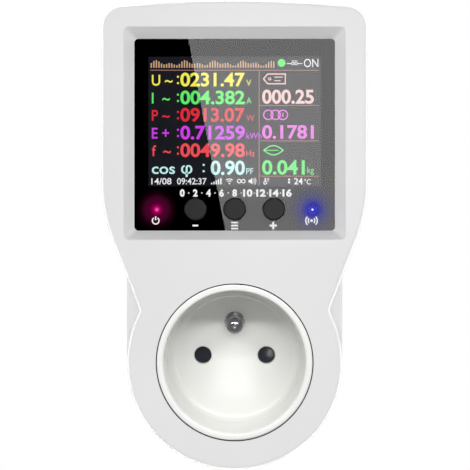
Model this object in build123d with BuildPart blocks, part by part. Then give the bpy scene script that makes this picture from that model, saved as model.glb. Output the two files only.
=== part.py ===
"""Plug-in energy meter: a colour screen above a round socket, and a plug on the back.

The frame is millimetres. X is to the viewer's right, Y goes towards the wall and Z is up.
The origin is the centre of the plug, on the face that rests in the wall socket. The front
of the meter faces -Y, so depths in front of the wall are negative.
"""

import os
from math import cos, radians, sin, sqrt, tan

from build123d import *

# Display module, and the tray that holds it
lcd_width = 59.0
lcd_height = 42.7
lcd_thickness = 2.5
lcd_side_frame = 4.7
lcd_end_frame = 2.7
view_depth = 0.25
film_gap = 0.1
holder_floor = 1.8
holder_wall = 1.2
holder_lip = 1.2
holder_ledge = 4.0

# Lens and bevelled window, from the display outwards
lens_side_gap = 0.7
lens_lap = 1.5
lens_thickness = 1.5
lens_gap = 0.15
mask_thickness = 0.3
window_radius = 1.2
window_top_margin = 2.15
key_strip = 10.05
bevel_width = 2.6
bevel_depth = 4.2
rim_wall = 1.2
rim_height = 1.3

# Casing outline, seen from the front
side_margin = 8.9
top_margin = 10.15
bridge = 15.15
top_arc_radius = 340.0
top_corner_radius = 6.0
shoulder_rise = 5.35
shoulder_radius = 44.0
taper_angle = 21.3
bulb_margin = 4.1
waist_radius = 2.5
shelf_width = 1.6
rear_corner_radius = 20.0

# Casing depths, walls and edges
plug_depth = 18.0
rear_cover_depth = 22.0
front_cover_depth = 14.0
wall = 2.2
front_edge_radius = 1.2
back_edge_radius = 1.5
shelf_edge_radius = 0.8
tongue_height = 1.5
tongue_wall = 1.0
tongue_gap = 0.15

# Clearances, and how far a cut runs past the face that it leaves
fit_gap = 0.05
slide_gap = 0.1
hole_gap = 0.15
screw_gap = 0.2
boss_gap = 0.4
overrun = 1.0

# Casing screws
screw_inset = 5.8
screw_ring_gap = 0.3
front_boss_radius = 2.7
rear_boss_radius = 3.9
screw_radius = 1.3
screw_head_radius = 2.3
screw_head_height = 2.0
screw_length = 12.0
screw_hold = 11.0
screw_recess_depth = 13.0

# Cooling slots in the back
vent_count = 7
vent_pitch = 5.0
vent_length = 20.0
vent_width = 1.8
vent_drop = 32.2

# Buttons and lamps
button_names = ("minus", "menu", "plus")
button_spacing = 11.2
button_rise = 6.15
button_radius = 3.1
button_gap = 0.2
button_proud = 0.8
button_edge_radius = 0.4
button_flange = 0.4
button_flange_thickness = 0.7
button_travel = 0.35
button_rest_gap = 0.3
switch_size = 6.0
switch_end_gap = 0.2
plunger_radius = 1.5
plunger_proud = 0.5
plunger_length = 1.7
lamp_inset = 6.3
lamp_rise = 6.05
lamp_radius = 1.5
lamp_window_radius = 1.3
lamp_flange = 0.4
lamp_flange_height = 1.0
lamp_tip_gap = 0.2

# Circuit boards and their screws
board_thickness = 1.6
board_gap = 1.2
display_board_rise = 4.7
power_board_rise = 5.7
standoff_height = 2.2
standoff_radius = 2.5
board_screw_radius = 0.95
board_screw_head_radius = 1.9
board_screw_head_height = 1.3
board_screw_length = 5.5
power_screw_length = 4.2
display_screw_inset = 6.2
power_screw_inset = 6.0

# Parts on the display board: places are to the right of its middle and above its lower edge
radio_x = -19.0
radio_rise = 52.0
radio_width = 16.0
radio_height = 24.0
radio_base = 0.8
radio_shield_width = 12.5
radio_shield_height = 16.0
radio_shield_depth = 2.2
radio_shield_drop = 2.5
antenna_rise = 7.5
antenna_pitch = 1.6
antenna_width = 0.6
antenna_depth = 0.2
chip_x = 4.0
chip_rise = 34.0
chip_size = 10.0
chip_depth = 1.3
chip_standoff = 0.2
chip_edge = 0.3
chip_lead_count = 8
chip_lead_pitch = 1.0
chip_lead_width = 0.4
chip_lead_length = 1.6
buzzer_x = 23.0
buzzer_rise = 56.0
buzzer_radius = 4.75
buzzer_depth = 5.5
buzzer_hole_radius = 1.0
buzzer_hole_depth = 1.5
buzzer_edge = 0.4
sensor_x = -24.0
sensor_rise = 22.0
sensor_radius = 2.3
sensor_depth = 4.0
sensor_flat = 1.5

# Parts on the power board: places are to the right of its middle and above its lower edge
relay_x = 17.0
relay_rise = 31.0
relay_width = 12.7
relay_height = 29.0
relay_depth = 15.7
transformer_x = -16.0
transformer_rise = 41.0
core_width = 15.5
core_height = 6.0
core_depth = 13.0
winding_width = 11.0
winding_height = 13.0
winding_depth = 9.0
bobbin_width = 14.0
bobbin_height = 15.0
bobbin_depth = 2.0
noise_capacitor_x = -2.0
noise_capacitor_rise = 18.0
noise_capacitor_width = 18.0
noise_capacitor_height = 8.5
noise_capacitor_depth = 14.5
storage_capacitor_x = 2.0
storage_capacitor_rise = 53.0
storage_capacitor_radius = 5.0
storage_capacitor_depth = 16.0
output_capacitor_x = -8.0
output_capacitor_rise = 57.0
output_capacitor_radius = 3.15
output_capacitor_depth = 11.0
component_edge = 0.6
fuse_x = -22.0
fuse_rise = 26.0
fuse_radius = 4.2
fuse_depth = 8.0
varistor_x = -5.0
varistor_rise = 28.0
varistor_radius = 5.0
varistor_thickness = 3.6
varistor_stand = 2.0
varistor_leg_spread = 2.5
varistor_leg_width = 0.8
varistor_leg_length = 3.0
shunt_x = 3.0
shunt_rise = 33.0
shunt_width = 11.0
shunt_depth = 7.0
shunt_thickness = 1.0
shunt_top_thickness = 1.5
shunt_height = 3.0
metering_x = 2.0
metering_rise = 43.0
metering_width = 5.0
metering_height = 6.2
metering_depth = 1.6
metering_lead_count = 5
metering_lead_pitch = 1.27
metering_lead_row = 6.0
metering_lead_length = 1.4
metering_lead_width = 0.45
metering_lead_depth = 0.5

# Socket
socket_mouth_radius = 20.1
socket_ring_width = 1.9
socket_wall = 1.4
socket_draft = 0.6
socket_ring_proud = 0.2
socket_gap = 0.25
socket_depth = 16.0
socket_floor = 2.5
socket_floor_round = 2.0
mouth_edge_radius = 0.7
ring_edge_radius = 0.5
flange_lap = 1.3
socket_flange_thickness = 1.8
pin_spacing = 19.0
earth_height = 10.0
outlet_hole_radius = 2.6
outlet_hole_edge = 0.3
earth_pin_length = 14.0
earth_pin_collar = 0.5
earth_stem_radius = 2.0

# Safety shutter
shutter_thickness = 1.6
shutter_front_gap = 0.3
shutter_room = 2.7
shutter_hub_radius = 4.2
shutter_reach = 12.8
shutter_wing_angle = 39.0
pivot_radius = 1.5
spring_coil_radius = 3.4
spring_wire_radius = 0.3
spring_pitch = 0.9
spring_turns = 2

# Contact carrier and contacts
carrier_step_radius = 14.2
carrier_step_back = 16.6
chamber_wall = 3.0
contact_inner_radius = 2.35
contact_wall = 0.6
contact_length = 13.4
contact_slit = 1.2
contact_front_gap = 0.5
contact_room = 1.5
tab_wall_gap = 4.3
tab_width = 5.0
tab_thickness = 0.8
tab_front_gap = 1.0
tab_side_gap = 0.5

# Plug
plug_radius = 18.8
plug_draft = 0.3
plug_edge_radius = 1.5
plug_wall = 4.3
plug_end_wall = 2.5
plug_flange_lap = 3.2
plug_flange_thickness = 2.0
plug_gap = 0.2
plug_pin_radius = 2.4
plug_pin_length = 19.0
plug_root_radius = 3.0
plug_root_length = 9.0
plug_collar_radius = 4.0
plug_collar_thickness = 2.0
plug_earth_bore_radius = 2.7
guide_groove_width = 5.4
guide_groove_depth = 2.0
earth_slot_width = 6.0
earth_slot_depth = 2.3
earth_clip_width = 4.6
earth_clip_leg = 1.5
earth_strip_thickness = 0.8
earth_strip_width = 6.0
earth_strip_depth = 14.4

# Leads, screw terminals and the ribbon between the boards
wire_radius = 1.4
wire_gap = 0.5
wire_bend = 2.4
side_wire_bend = 3.4
passage_x = 8.0
passage_z = 9.0
channel_room = 2.4
root_run = 4.0
climb_gap = 3.0
entry_run = 2.0
entry_depth = 3.0
side_run_end = 12.0
side_turn_end = 5.0
terminal_rise = 2.0
terminal_width = 8.0
terminal_height = 8.0
terminal_depth = 9.0
terminal_screw_radius = 2.2
terminal_screw_depth = 0.8
terminal_hole_gap = 0.2
supply_terminal_shift = 2.5
outlet_terminal_inset = 10.5
connector_rise = 7.0
connector_width = 12.0
connector_height = 4.5
connector_depth = 3.5
ribbon_width = 10.0
ribbon_thickness = 0.9
ribbon_sag = 3.0

# Planes that the pieces share
casing_back = -plug_depth
parting = casing_back - rear_cover_depth
casing_front = parting - front_cover_depth
front_inside = casing_front + wall
back_inside = casing_back - wall
lens_front = casing_front + bevel_depth
lens_back = lens_front + lens_thickness
mask_back = lens_back + mask_thickness
lcd_front = mask_back + film_gap
lcd_back = lcd_front + lcd_thickness
display_board_front = lcd_back + holder_floor
display_board_back = display_board_front + board_thickness
power_board_back = back_inside - standoff_height
power_board_front = power_board_back - board_thickness
socket_front = casing_front - socket_ring_proud
socket_floor_front = socket_front + socket_depth
socket_floor_back = socket_floor_front + socket_floor
carrier_front = socket_floor_back + shutter_room
plug_flange_front = back_inside - plug_flange_thickness

# Round sizes of the socket and the plug, from the mouth and the plug outwards
socket_floor_radius = socket_mouth_radius - socket_draft
socket_wall_radius = socket_mouth_radius + socket_wall
socket_ring_radius = socket_mouth_radius + socket_ring_width
socket_flange_radius = socket_ring_radius + flange_lap
chamber_radius = socket_wall_radius - chamber_wall
plug_end_radius = plug_radius - plug_draft
plug_bore_radius = plug_radius - plug_wall
plug_flange_radius = plug_radius + plug_flange_lap
pin_offset = pin_spacing / 2
button_hole_radius = button_radius + button_gap
contact_radius = contact_inner_radius + contact_wall
contact_pocket_radius = contact_radius + contact_room

# The window, from the socket upwards and from the display outwards
window_bottom = socket_ring_radius + bridge
window_height = key_strip + lcd_height + window_top_margin
window_middle = window_bottom + window_height / 2
lens_width = lcd_width + 2 * lens_side_gap
lens_height = window_height + 2 * lens_lap
window_width = lens_width - 2 * lens_lap
lcd_middle = window_bottom + key_strip + lcd_height / 2
view_width = lcd_width - 2 * lcd_side_frame
view_height = lcd_height - 2 * lcd_end_frame
button_height = window_bottom + button_rise
lamp_height = window_bottom + lamp_rise
lamp_spread = window_width / 2 - lamp_inset

# The casing, round the window and round the screws that flank the socket and the plug
casing_width = window_width + 2 * side_margin
casing_top = window_bottom + window_height + top_margin
shoulder_height = window_bottom + shoulder_rise
screw_ring_radius = screw_ring_gap + max(
    socket_flange_radius + front_boss_radius, plug_flange_radius + rear_boss_radius
)
lower_screw_spread = screw_ring_radius * sin(radians(45))
bulb_radius = screw_ring_radius + bulb_margin
rear_half_width = bulb_radius + shelf_width
vent_height = casing_top - vent_drop

# The shoulder's and the rear cover's bends share the slanted side, so its length limits them
slant = radians(taper_angle)
slanted_side = (casing_width / 2 - rear_half_width) / sin(slant)
bend_share = min(1.0, slanted_side / tan(slant / 2) / (shoulder_radius + rear_corner_radius))
shoulder_bend = shoulder_radius * bend_share
rear_corner_bend = rear_corner_radius * bend_share

# Boards, terminals and contact tabs, from the socket and the casing's sides
display_board_bottom = socket_flange_radius + display_board_rise
power_board_bottom = socket_flange_radius + power_board_rise
terminal_bottom = power_board_bottom + terminal_rise
supply_terminal = pin_offset + supply_terminal_shift
outlet_terminal = rear_half_width - outlet_terminal_inset
tab_reach = rear_half_width - wall - tab_wall_gap
display_screw_spread = lens_width / 2 - display_screw_inset
power_screw_spread = rear_half_width - power_screw_inset

# Places of the screws and the buttons
screw_points = (
    (casing_width / 2 - screw_inset, casing_top - screw_inset),
    (screw_inset - casing_width / 2, casing_top - screw_inset),
    (lower_screw_spread, -lower_screw_spread),
    (-lower_screw_spread, -lower_screw_spread),
)
# The display board's bosses merge with the lens rim, but stay clear of the lens
display_screw_rise = lens_height / 2 + lens_gap + rim_wall / 3 + standoff_radius
display_screw_points = (
    (display_screw_spread, window_middle + display_screw_rise),
    (-display_screw_spread, window_middle + display_screw_rise),
    (display_screw_spread, window_middle - display_screw_rise),
    (-display_screw_spread, window_middle - display_screw_rise),
)
power_screw_top = casing_top - wall - 2 * standoff_radius
power_screw_low = terminal_bottom + terminal_height + 2 * standoff_radius
power_screw_points = (
    (power_screw_spread, power_screw_top),
    (-power_screw_spread, power_screw_top),
    (power_screw_spread, power_screw_low),
    (-power_screw_spread, power_screw_low),
)
button_places = [(name, (i - 1) * button_spacing) for i, name in enumerate(button_names)]


def facing(depth):
    """Plane at a depth, seen from the front: its x is X, its y is Z and its normal is -Y."""
    return Plane.XZ.offset(-depth)


def at_height(height):
    """Corners of the sketch being drawn that lie at one height."""
    return [corner for corner in vertices() if abs(corner.Y - height) < 0.01]


def top_sag(half_width, radius):
    """Drop of the curved top from its middle to a half width."""
    return radius - sqrt(radius**2 - half_width**2)


def waist_corner(half_width, shoulder, bulb):
    """Where the tapered side, which starts at the shoulder, meets the round lower end."""
    along = half_width * sin(slant) + shoulder * cos(slant)
    away = half_width * cos(slant) - shoulder * sin(slant)
    run = along - sqrt(bulb**2 - away**2)
    return half_width - run * sin(slant), shoulder - run * cos(slant)


def front_outline(inset=0.0):
    """Outline of the front cover, drawn parallel to its edge at an inset."""
    half = casing_width / 2 - inset
    side_top = casing_top - inset - top_sag(half, top_arc_radius - inset)
    shoulder = shoulder_height + inset * tan(slant / 2)
    bulb = bulb_radius - inset
    waist_x, waist_z = waist_corner(half, shoulder, bulb)
    with BuildLine() as outline:
        ThreePointArc((-half, side_top), (0, casing_top - inset), (half, side_top))
        Polyline((half, side_top), (half, shoulder), (waist_x, waist_z))
        ThreePointArc((waist_x, waist_z), (0, -bulb), (-waist_x, waist_z))
        Polyline((-waist_x, waist_z), (-half, shoulder), (-half, side_top))
    make_face(outline.edges())
    fillet(at_height(side_top), top_corner_radius - inset)
    fillet(at_height(shoulder), shoulder_bend - inset)
    fillet(at_height(waist_z), waist_radius + inset)


def rear_outline(inset=0.0):
    """Outline of the rear cover: as the front one, but with straight sides at the waist."""
    half = casing_width / 2 - inset
    side_top = casing_top - inset - top_sag(half, top_arc_radius - inset)
    shoulder = shoulder_height + inset * tan(slant / 2)
    rear_half = rear_half_width - inset
    corner = shoulder - (half - rear_half) / tan(slant)
    end_middle = rear_half_width - bulb_radius
    bottom = inset - bulb_radius
    with BuildLine() as outline:
        ThreePointArc((-half, side_top), (0, casing_top - inset), (half, side_top))
        Polyline((half, side_top), (half, shoulder), (rear_half, corner), (rear_half, end_middle))
        ThreePointArc((rear_half, end_middle), (0, bottom), (-rear_half, end_middle))
        Polyline((-rear_half, end_middle), (-rear_half, corner), (-half, shoulder), (-half, side_top))
    make_face(outline.edges())
    fillet(at_height(side_top), top_corner_radius - inset)
    fillet(at_height(shoulder), shoulder_bend - inset)
    fillet(at_height(corner), rear_corner_bend + inset)


def block(x, z, width, height, depth, thickness, mode=Mode.ADD):
    """Rectangular block whose back is at a depth and which comes forward by its thickness."""
    with BuildSketch(facing(depth)) as profile:
        with Locations((x, z)):
            Rectangle(width, height)
    extrude(profile.sketch, amount=thickness, mode=mode)


def post(x, z, radius, depth, length, mode=Mode.ADD):
    """Round post whose back is at a depth and which comes forward by its length."""
    with BuildSketch(facing(depth)) as profile:
        with Locations((x, z)):
            Circle(radius)
    extrude(profile.sketch, amount=length, mode=mode)


def posts(points, radius, depth, length, mode=Mode.ADD):
    """The same post at several places."""
    with BuildSketch(facing(depth)) as profile:
        with Locations(*points):
            Circle(radius)
    extrude(profile.sketch, amount=length, mode=mode)


def pan_screws(points, head_depth, radius, head_radius, head_height, length):
    """Screws driven from the back: domed heads at a depth, with shanks that reach forward."""
    posts(points, head_radius, head_depth, head_height)
    rims = [e for e in edges() if abs(e.center().Y - head_depth) < 0.01]
    fillet(rims, head_height / 3)
    posts(points, radius, head_depth - head_height, length)
    tips = [e for e in edges() if abs(e.center().Y - head_depth + head_height + length) < 0.01]
    chamfer(tips, radius / 3)
    for x, z in points:
        block(x, z, 2 * head_radius, head_radius / 4, head_depth, head_height / 3, Mode.SUBTRACT)


def finish(piece, name):
    """Label a finished piece and write it."""
    piece.part.label = name
    export_step(piece.part, f"parts/{name}.step")


os.makedirs("parts", exist_ok=True)

# Front cover: a moulded shell with a waist, a bevelled window and a round opening
with BuildPart() as front_cover:
    with BuildSketch(facing(parting)):
        front_outline()
    extrude(amount=front_cover_depth)
    fillet(front_cover.faces().sort_by(Axis.Y)[0].edges(), front_edge_radius)
    with BuildSketch(facing(parting)):
        front_outline(wall)
    extrude(amount=front_cover_depth - wall, mode=Mode.SUBTRACT)
    # The window frame stands behind the front wall and ends on the lens
    block(
        0,
        window_middle,
        window_width + 2 * (bevel_width + wall),
        window_height + 2 * (bevel_width + wall),
        lens_front,
        lens_front - front_inside,
    )
    # A rim on the frame locates the lens
    rim_back = lens_back + rim_height
    with BuildSketch(facing(rim_back)):
        with Locations((0, window_middle)):
            inner_width = lens_width + 2 * lens_gap
            inner_height = lens_height + 2 * lens_gap
            Rectangle(inner_width + 2 * rim_wall, inner_height + 2 * rim_wall)
            Rectangle(inner_width, inner_height, mode=Mode.SUBTRACT)
    extrude(amount=rim_back - lens_front)
    # Bosses for the display board and for the casing screws
    boss_length = display_board_front - front_inside
    thread_radius = board_screw_radius + fit_gap
    posts(display_screw_points, standoff_radius, display_board_front, boss_length)
    posts(screw_points, front_boss_radius, parting, front_cover_depth - wall)
    posts(display_screw_points, thread_radius, display_board_front, board_screw_length, Mode.SUBTRACT)
    posts(screw_points, screw_radius + fit_gap, parting, screw_hold, Mode.SUBTRACT)
    # Bevelled window
    with BuildSketch(facing(lens_front)):
        with Locations((0, window_middle)):
            RectangleRounded(window_width, window_height, window_radius)
    with BuildSketch(facing(casing_front)):
        with Locations((0, window_middle)):
            frame_width = window_width + 2 * bevel_width
            frame_height = window_height + 2 * bevel_width
            RectangleRounded(frame_width, frame_height, window_radius)
    loft(ruled=True, mode=Mode.SUBTRACT)
    # Socket opening
    post(0, 0, socket_ring_radius + socket_gap, front_inside, wall, Mode.SUBTRACT)
finish(front_cover, "front_cover")

# Rear cover: a deeper shell without the waist, whose shelf closes the grip notches from behind
tongue_inset = wall + tongue_gap + tongue_wall
with BuildPart() as rear_cover:
    with BuildSketch(facing(casing_back)):
        rear_outline()
    extrude(amount=rear_cover_depth)
    fillet(rear_cover.faces().sort_by(Axis.Y)[0].edges(), shelf_edge_radius)
    fillet(rear_cover.faces().sort_by(Axis.Y)[-1].edges(), back_edge_radius)
    with BuildSketch(facing(back_inside)):
        rear_outline(wall)
    extrude(amount=rear_cover_depth - 2 * wall, mode=Mode.SUBTRACT)
    with BuildSketch(facing(parting + wall)):
        front_outline(tongue_inset)
    extrude(amount=wall, mode=Mode.SUBTRACT)
    # Tongue that fits inside the front cover
    with BuildSketch(facing(parting)):
        front_outline(wall + tongue_gap)
        with BuildSketch(mode=Mode.PRIVATE) as tongue_inside:
            front_outline(tongue_inset)
        add(tongue_inside.sketch, mode=Mode.SUBTRACT)
    extrude(amount=tongue_height)
    posts(screw_points, front_boss_radius + screw_gap, parting, tongue_height, Mode.SUBTRACT)
    posts(display_screw_points, board_screw_head_radius + screw_gap, parting, tongue_height, Mode.SUBTRACT)
    # Screw columns, board standoffs and their holes
    posts(screw_points, rear_boss_radius, back_inside, rear_cover_depth - wall)
    posts(power_screw_points, standoff_radius, back_inside, standoff_height)
    posts(screw_points, screw_radius + screw_gap, casing_back, rear_cover_depth, Mode.SUBTRACT)
    posts(screw_points, screw_head_radius + screw_gap, casing_back, screw_recess_depth, Mode.SUBTRACT)
    power_screw_tip = power_board_front + power_screw_length
    power_hole_depth = power_screw_length - board_thickness + screw_gap
    power_hole_end = power_screw_tip + screw_gap
    posts(power_screw_points, thread_radius, power_hole_end, power_hole_depth, Mode.SUBTRACT)
    # Opening for the plug body
    post(0, 0, plug_radius + plug_gap, casing_back, wall, Mode.SUBTRACT)
    # Cooling slots
    with BuildSketch(facing(casing_back)):
        with Locations((0, vent_height)):
            with GridLocations(vent_pitch, 1, vent_count, 1):
                SlotOverall(vent_length, vent_width, rotation=90)
    extrude(amount=wall, mode=Mode.SUBTRACT)
finish(rear_cover, "rear_cover")

# Plug body: the round boss that enters the wall socket
with BuildPart() as plug_body:
    with BuildSketch(Plane.XY):
        Polygon(
            (0, plug_flange_front),
            (plug_flange_radius, plug_flange_front),
            (plug_flange_radius, back_inside),
            (plug_radius, back_inside),
            (plug_end_radius, 0),
            (0, 0),
            align=None,
        )
    revolve(axis=Axis.Y)
    fillet(plug_body.faces().sort_by(Axis.Y)[-1].edges(), plug_edge_radius)
    bore_length = -plug_flange_front - plug_end_wall
    post(0, 0, plug_bore_radius, -plug_end_wall, bore_length, Mode.SUBTRACT)
    # Bosses around the pin roots
    root_points = ((pin_offset, 0), (-pin_offset, 0))
    root_boss_length = plug_root_length - plug_end_wall - plug_collar_thickness
    posts(root_points, plug_collar_radius, -plug_end_wall, root_boss_length)
    posts(root_points, plug_root_radius + fit_gap, 0, plug_root_length, Mode.SUBTRACT)
    # Hole for the wall socket's earth pin
    post(0, earth_height, plug_earth_bore_radius, 0, plug_end_wall, Mode.SUBTRACT)
    # Guide grooves at the sides, earth clip slots at the top and bottom
    for side in (-1, 1):
        groove_middle = side * (plug_radius - guide_groove_depth / 2 + overrun)
        block(
            groove_middle,
            0,
            guide_groove_depth + 2 * overrun,
            guide_groove_width,
            0,
            plug_depth - wall,
            Mode.SUBTRACT,
        )
        slot_middle = side * (plug_radius - earth_slot_depth / 2 + overrun)
        block(
            0,
            slot_middle,
            earth_slot_width,
            earth_slot_depth + 2 * overrun,
            0,
            plug_depth - wall / 2,
            Mode.SUBTRACT,
        )
        leg_slot_height = plug_radius - earth_slot_depth - plug_bore_radius + 2 * overrun
        block(
            0,
            side * (plug_bore_radius - overrun + leg_slot_height / 2),
            earth_clip_width + 2 * plug_gap,
            leg_slot_height,
            slide_gap - earth_strip_depth - earth_strip_thickness,
            earth_strip_thickness + 2 * slide_gap,
            Mode.SUBTRACT,
        )
finish(plug_body, "plug_body")


def plug_pin(x):
    """Round plug pin with a domed tip, and a thicker root with a collar in the plug body."""
    post(x, 0, plug_pin_radius, plug_pin_length, plug_pin_length)
    tip = [e for e in edges() if abs(e.center().Y - plug_pin_length) < 0.01]
    fillet(tip, plug_pin_radius * 0.8)
    post(x, 0, plug_root_radius, 0, plug_root_length)
    collar_back = plug_collar_thickness - plug_root_length
    post(x, 0, plug_collar_radius, collar_back, plug_collar_thickness)


with BuildPart() as plug_live_pin:
    plug_pin(pin_offset)
finish(plug_live_pin, "plug_live_pin")

with BuildPart() as plug_neutral_pin:
    plug_pin(-pin_offset)
finish(plug_neutral_pin, "plug_neutral_pin")

# Earth strip that joins the clips, the plug's earth contact and the outlet's earth pin
strip_reach = sqrt(plug_bore_radius**2 - (earth_strip_width / 2) ** 2) - slide_gap
with BuildPart() as earth_strip:
    block(0, 0, earth_strip_width, 2 * strip_reach, -earth_strip_depth, earth_strip_thickness)
    post(0, earth_height, plug_collar_radius, -earth_strip_depth, earth_strip_thickness)
finish(earth_strip, "earth_strip")

# Sprung sleeve behind the plug's earth hole
with BuildPart() as plug_earth_contact:
    with BuildSketch(facing(-plug_end_wall - slide_gap)):
        with Locations((0, earth_height)):
            Circle(contact_radius)
            Circle(contact_inner_radius, mode=Mode.SUBTRACT)
        with Locations((0, earth_height - contact_radius)):
            Rectangle(contact_slit, 2 * contact_radius, mode=Mode.SUBTRACT)
    extrude(amount=earth_strip_depth - plug_end_wall - slide_gap)
finish(plug_earth_contact, "plug_earth_contact")


def earth_clip(side):
    """Bowed strip in the plug's slot, with a leg that goes through the wall to the strip."""
    seat = plug_radius - earth_slot_depth
    top = seat + earth_strip_thickness
    back = -earth_strip_depth - earth_strip_thickness
    front = -plug_edge_radius
    middle = (back + front) / 2
    bow = seat + 2 * earth_strip_thickness
    with BuildSketch(Plane.YZ.offset(-earth_clip_width / 2)) as profile:
        with BuildLine():
            Line((back, side * seat), (back, side * top))
            ThreePointArc((back, side * top), (middle, side * bow), (front, side * top))
            Line((front, side * top), (front, side * seat))
            ThreePointArc(
                (front, side * seat),
                (middle, side * (bow - earth_strip_thickness)),
                (back, side * seat),
            )
        make_face()
    extrude(profile.sketch, amount=earth_clip_width)
    leg_bottom = plug_bore_radius - earth_clip_leg
    leg_height = top - leg_bottom
    block(
        0,
        side * (leg_bottom + leg_height / 2),
        earth_clip_width,
        leg_height,
        back,
        earth_strip_thickness,
    )


with BuildPart() as earth_clip_top:
    earth_clip(1)
finish(earth_clip_top, "earth_clip_top")

with BuildPart() as earth_clip_bottom:
    earth_clip(-1)
finish(earth_clip_bottom, "earth_clip_bottom")

# Socket cup: the round recess, with its ring at the front and a flange behind the front cover
flange_back = front_inside + socket_flange_thickness
with BuildPart() as socket_cup:
    with BuildSketch(Plane.XY):
        Polygon(
            (0, socket_floor_front),
            (socket_floor_radius, socket_floor_front),
            (socket_mouth_radius, socket_front),
            (socket_ring_radius, socket_front),
            (socket_ring_radius, front_inside),
            (socket_flange_radius, front_inside),
            (socket_flange_radius, flange_back),
            (socket_wall_radius, flange_back),
            (socket_wall_radius, socket_floor_back),
            (0, socket_floor_back),
            align=None,
        )
        corners = vertices()
        fillet([c for c in corners if abs(c.X - socket_floor_radius) < 0.01], socket_floor_round)
        fillet([c for c in vertices() if abs(c.X - socket_mouth_radius) < 0.01], mouth_edge_radius)
        fillet(vertices().group_by(Axis.Y)[0].sort_by(Axis.X)[-1], ring_edge_radius)
    revolve(axis=Axis.Y)
    posts(
        ((pin_offset, 0), (-pin_offset, 0)),
        outlet_hole_radius,
        socket_floor_back,
        socket_floor,
        Mode.SUBTRACT,
    )
    # The mouths of the two holes are bevelled to lead the pins in
    mouths = [e for e in edges().filter_by(GeomType.CIRCLE) if abs(e.radius - outlet_hole_radius) < 0.01]
    chamfer([e for e in mouths if abs(e.arc_center.Y - socket_floor_front) < 0.01], outlet_hole_edge)
    post(0, earth_height, plug_root_radius + fit_gap, socket_floor_back, socket_floor, Mode.SUBTRACT)
finish(socket_cup, "socket_cup")

# Earth pin of the outlet: it is clamped by its collar and reaches back to the earth strip
with BuildPart() as outlet_earth_pin:
    post(0, earth_height, plug_pin_radius, socket_floor_front, earth_pin_length)
    pin_tip = outlet_earth_pin.faces().sort_by(Axis.Y)[0].edges()
    fillet(pin_tip, plug_pin_radius * 0.85)
    post(0, earth_height, plug_root_radius, socket_floor_back, socket_floor)
    post(0, earth_height, plug_root_radius + earth_pin_collar, carrier_front, shutter_room)
    stem_back = -earth_strip_depth - earth_strip_thickness
    post(0, earth_height, earth_stem_radius, stem_back, stem_back - carrier_front)
finish(outlet_earth_pin, "outlet_earth_pin")

# Contact carrier: it closes the shutter's chamber and holds the outlet's contacts
carrier_back = plug_flange_front
tab_back = carrier_front + tab_front_gap + tab_width
channel_depth = 2 * wire_radius + channel_room
with BuildPart() as contact_carrier:
    post(0, 0, socket_wall_radius, carrier_back, carrier_back - socket_floor_back)
    post(0, 0, carrier_step_radius, -carrier_step_back, -carrier_step_back - carrier_back)
    post(0, 0, chamber_radius, carrier_front, shutter_room, Mode.SUBTRACT)
    pocket_depth = contact_length + 3 * contact_front_gap
    posts(
        ((pin_offset, 0), (-pin_offset, 0)),
        contact_pocket_radius,
        carrier_front + pocket_depth,
        pocket_depth,
        Mode.SUBTRACT,
    )
    # Pocket for the shutter's spring, and the pivot's hole
    spring_room = spring_pitch * spring_turns + 4 * spring_wire_radius
    spring_room_radius = spring_coil_radius + 3 * spring_wire_radius
    post(0, 0, spring_room_radius, carrier_front + spring_room, spring_room, Mode.SUBTRACT)
    pivot_hole_end = carrier_front + 3 * spring_room
    post(0, 0, pivot_radius + fit_gap, pivot_hole_end, 2 * spring_room, Mode.SUBTRACT)
    stem_room = earth_stem_radius + slide_gap
    carrier_length = -carrier_step_back - carrier_front
    post(0, earth_height, stem_room, -carrier_step_back, carrier_length, Mode.SUBTRACT)
    for side in (-1, 1):
        # Slot that lets the contact's tab out at the side
        slot_inner = pin_offset + contact_pocket_radius - overrun
        slot_width = socket_wall_radius - slot_inner + overrun
        block(
            side * (slot_inner + slot_width / 2),
            0,
            slot_width,
            tab_thickness + 2 * tab_side_gap,
            tab_back + tab_front_gap,
            tab_back + tab_front_gap - carrier_front,
            Mode.SUBTRACT,
        )
        # Passage and channel for the supply wire
        wire_room = wire_radius + wire_gap
        post(
            side * passage_x,
            passage_z,
            wire_room,
            -carrier_step_back,
            channel_depth + carrier_step_radius / 2,
            Mode.SUBTRACT,
        )
        channel_top = socket_wall_radius + overrun
        block(
            side * passage_x,
            (passage_z - wire_room + channel_top) / 2,
            2 * wire_room,
            channel_top - passage_z + wire_room,
            carrier_back,
            channel_depth,
            Mode.SUBTRACT,
        )
finish(contact_carrier, "contact_carrier")


def outlet_contact(side):
    """Sprung sleeve for a pin, split along its inner side, with a tab that leads outwards."""
    back = carrier_front + contact_front_gap + contact_length
    with BuildSketch(facing(back)) as profile:
        with Locations((side * pin_offset, 0)):
            Circle(contact_radius)
            Circle(contact_inner_radius, mode=Mode.SUBTRACT)
        with Locations((side * (pin_offset - contact_radius), 0)):
            Rectangle(2 * contact_radius, contact_slit, mode=Mode.SUBTRACT)
    extrude(profile.sketch, amount=contact_length)
    tab_start = pin_offset + contact_inner_radius + contact_wall / 2
    block(
        side * (tab_start + tab_reach) / 2,
        0,
        tab_reach - tab_start,
        tab_thickness,
        tab_back,
        tab_width,
    )


with BuildPart() as outlet_live_contact:
    outlet_contact(1)
finish(outlet_live_contact, "outlet_live_contact")

with BuildPart() as outlet_neutral_contact:
    outlet_contact(-1)
finish(outlet_neutral_contact, "outlet_neutral_contact")

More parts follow.
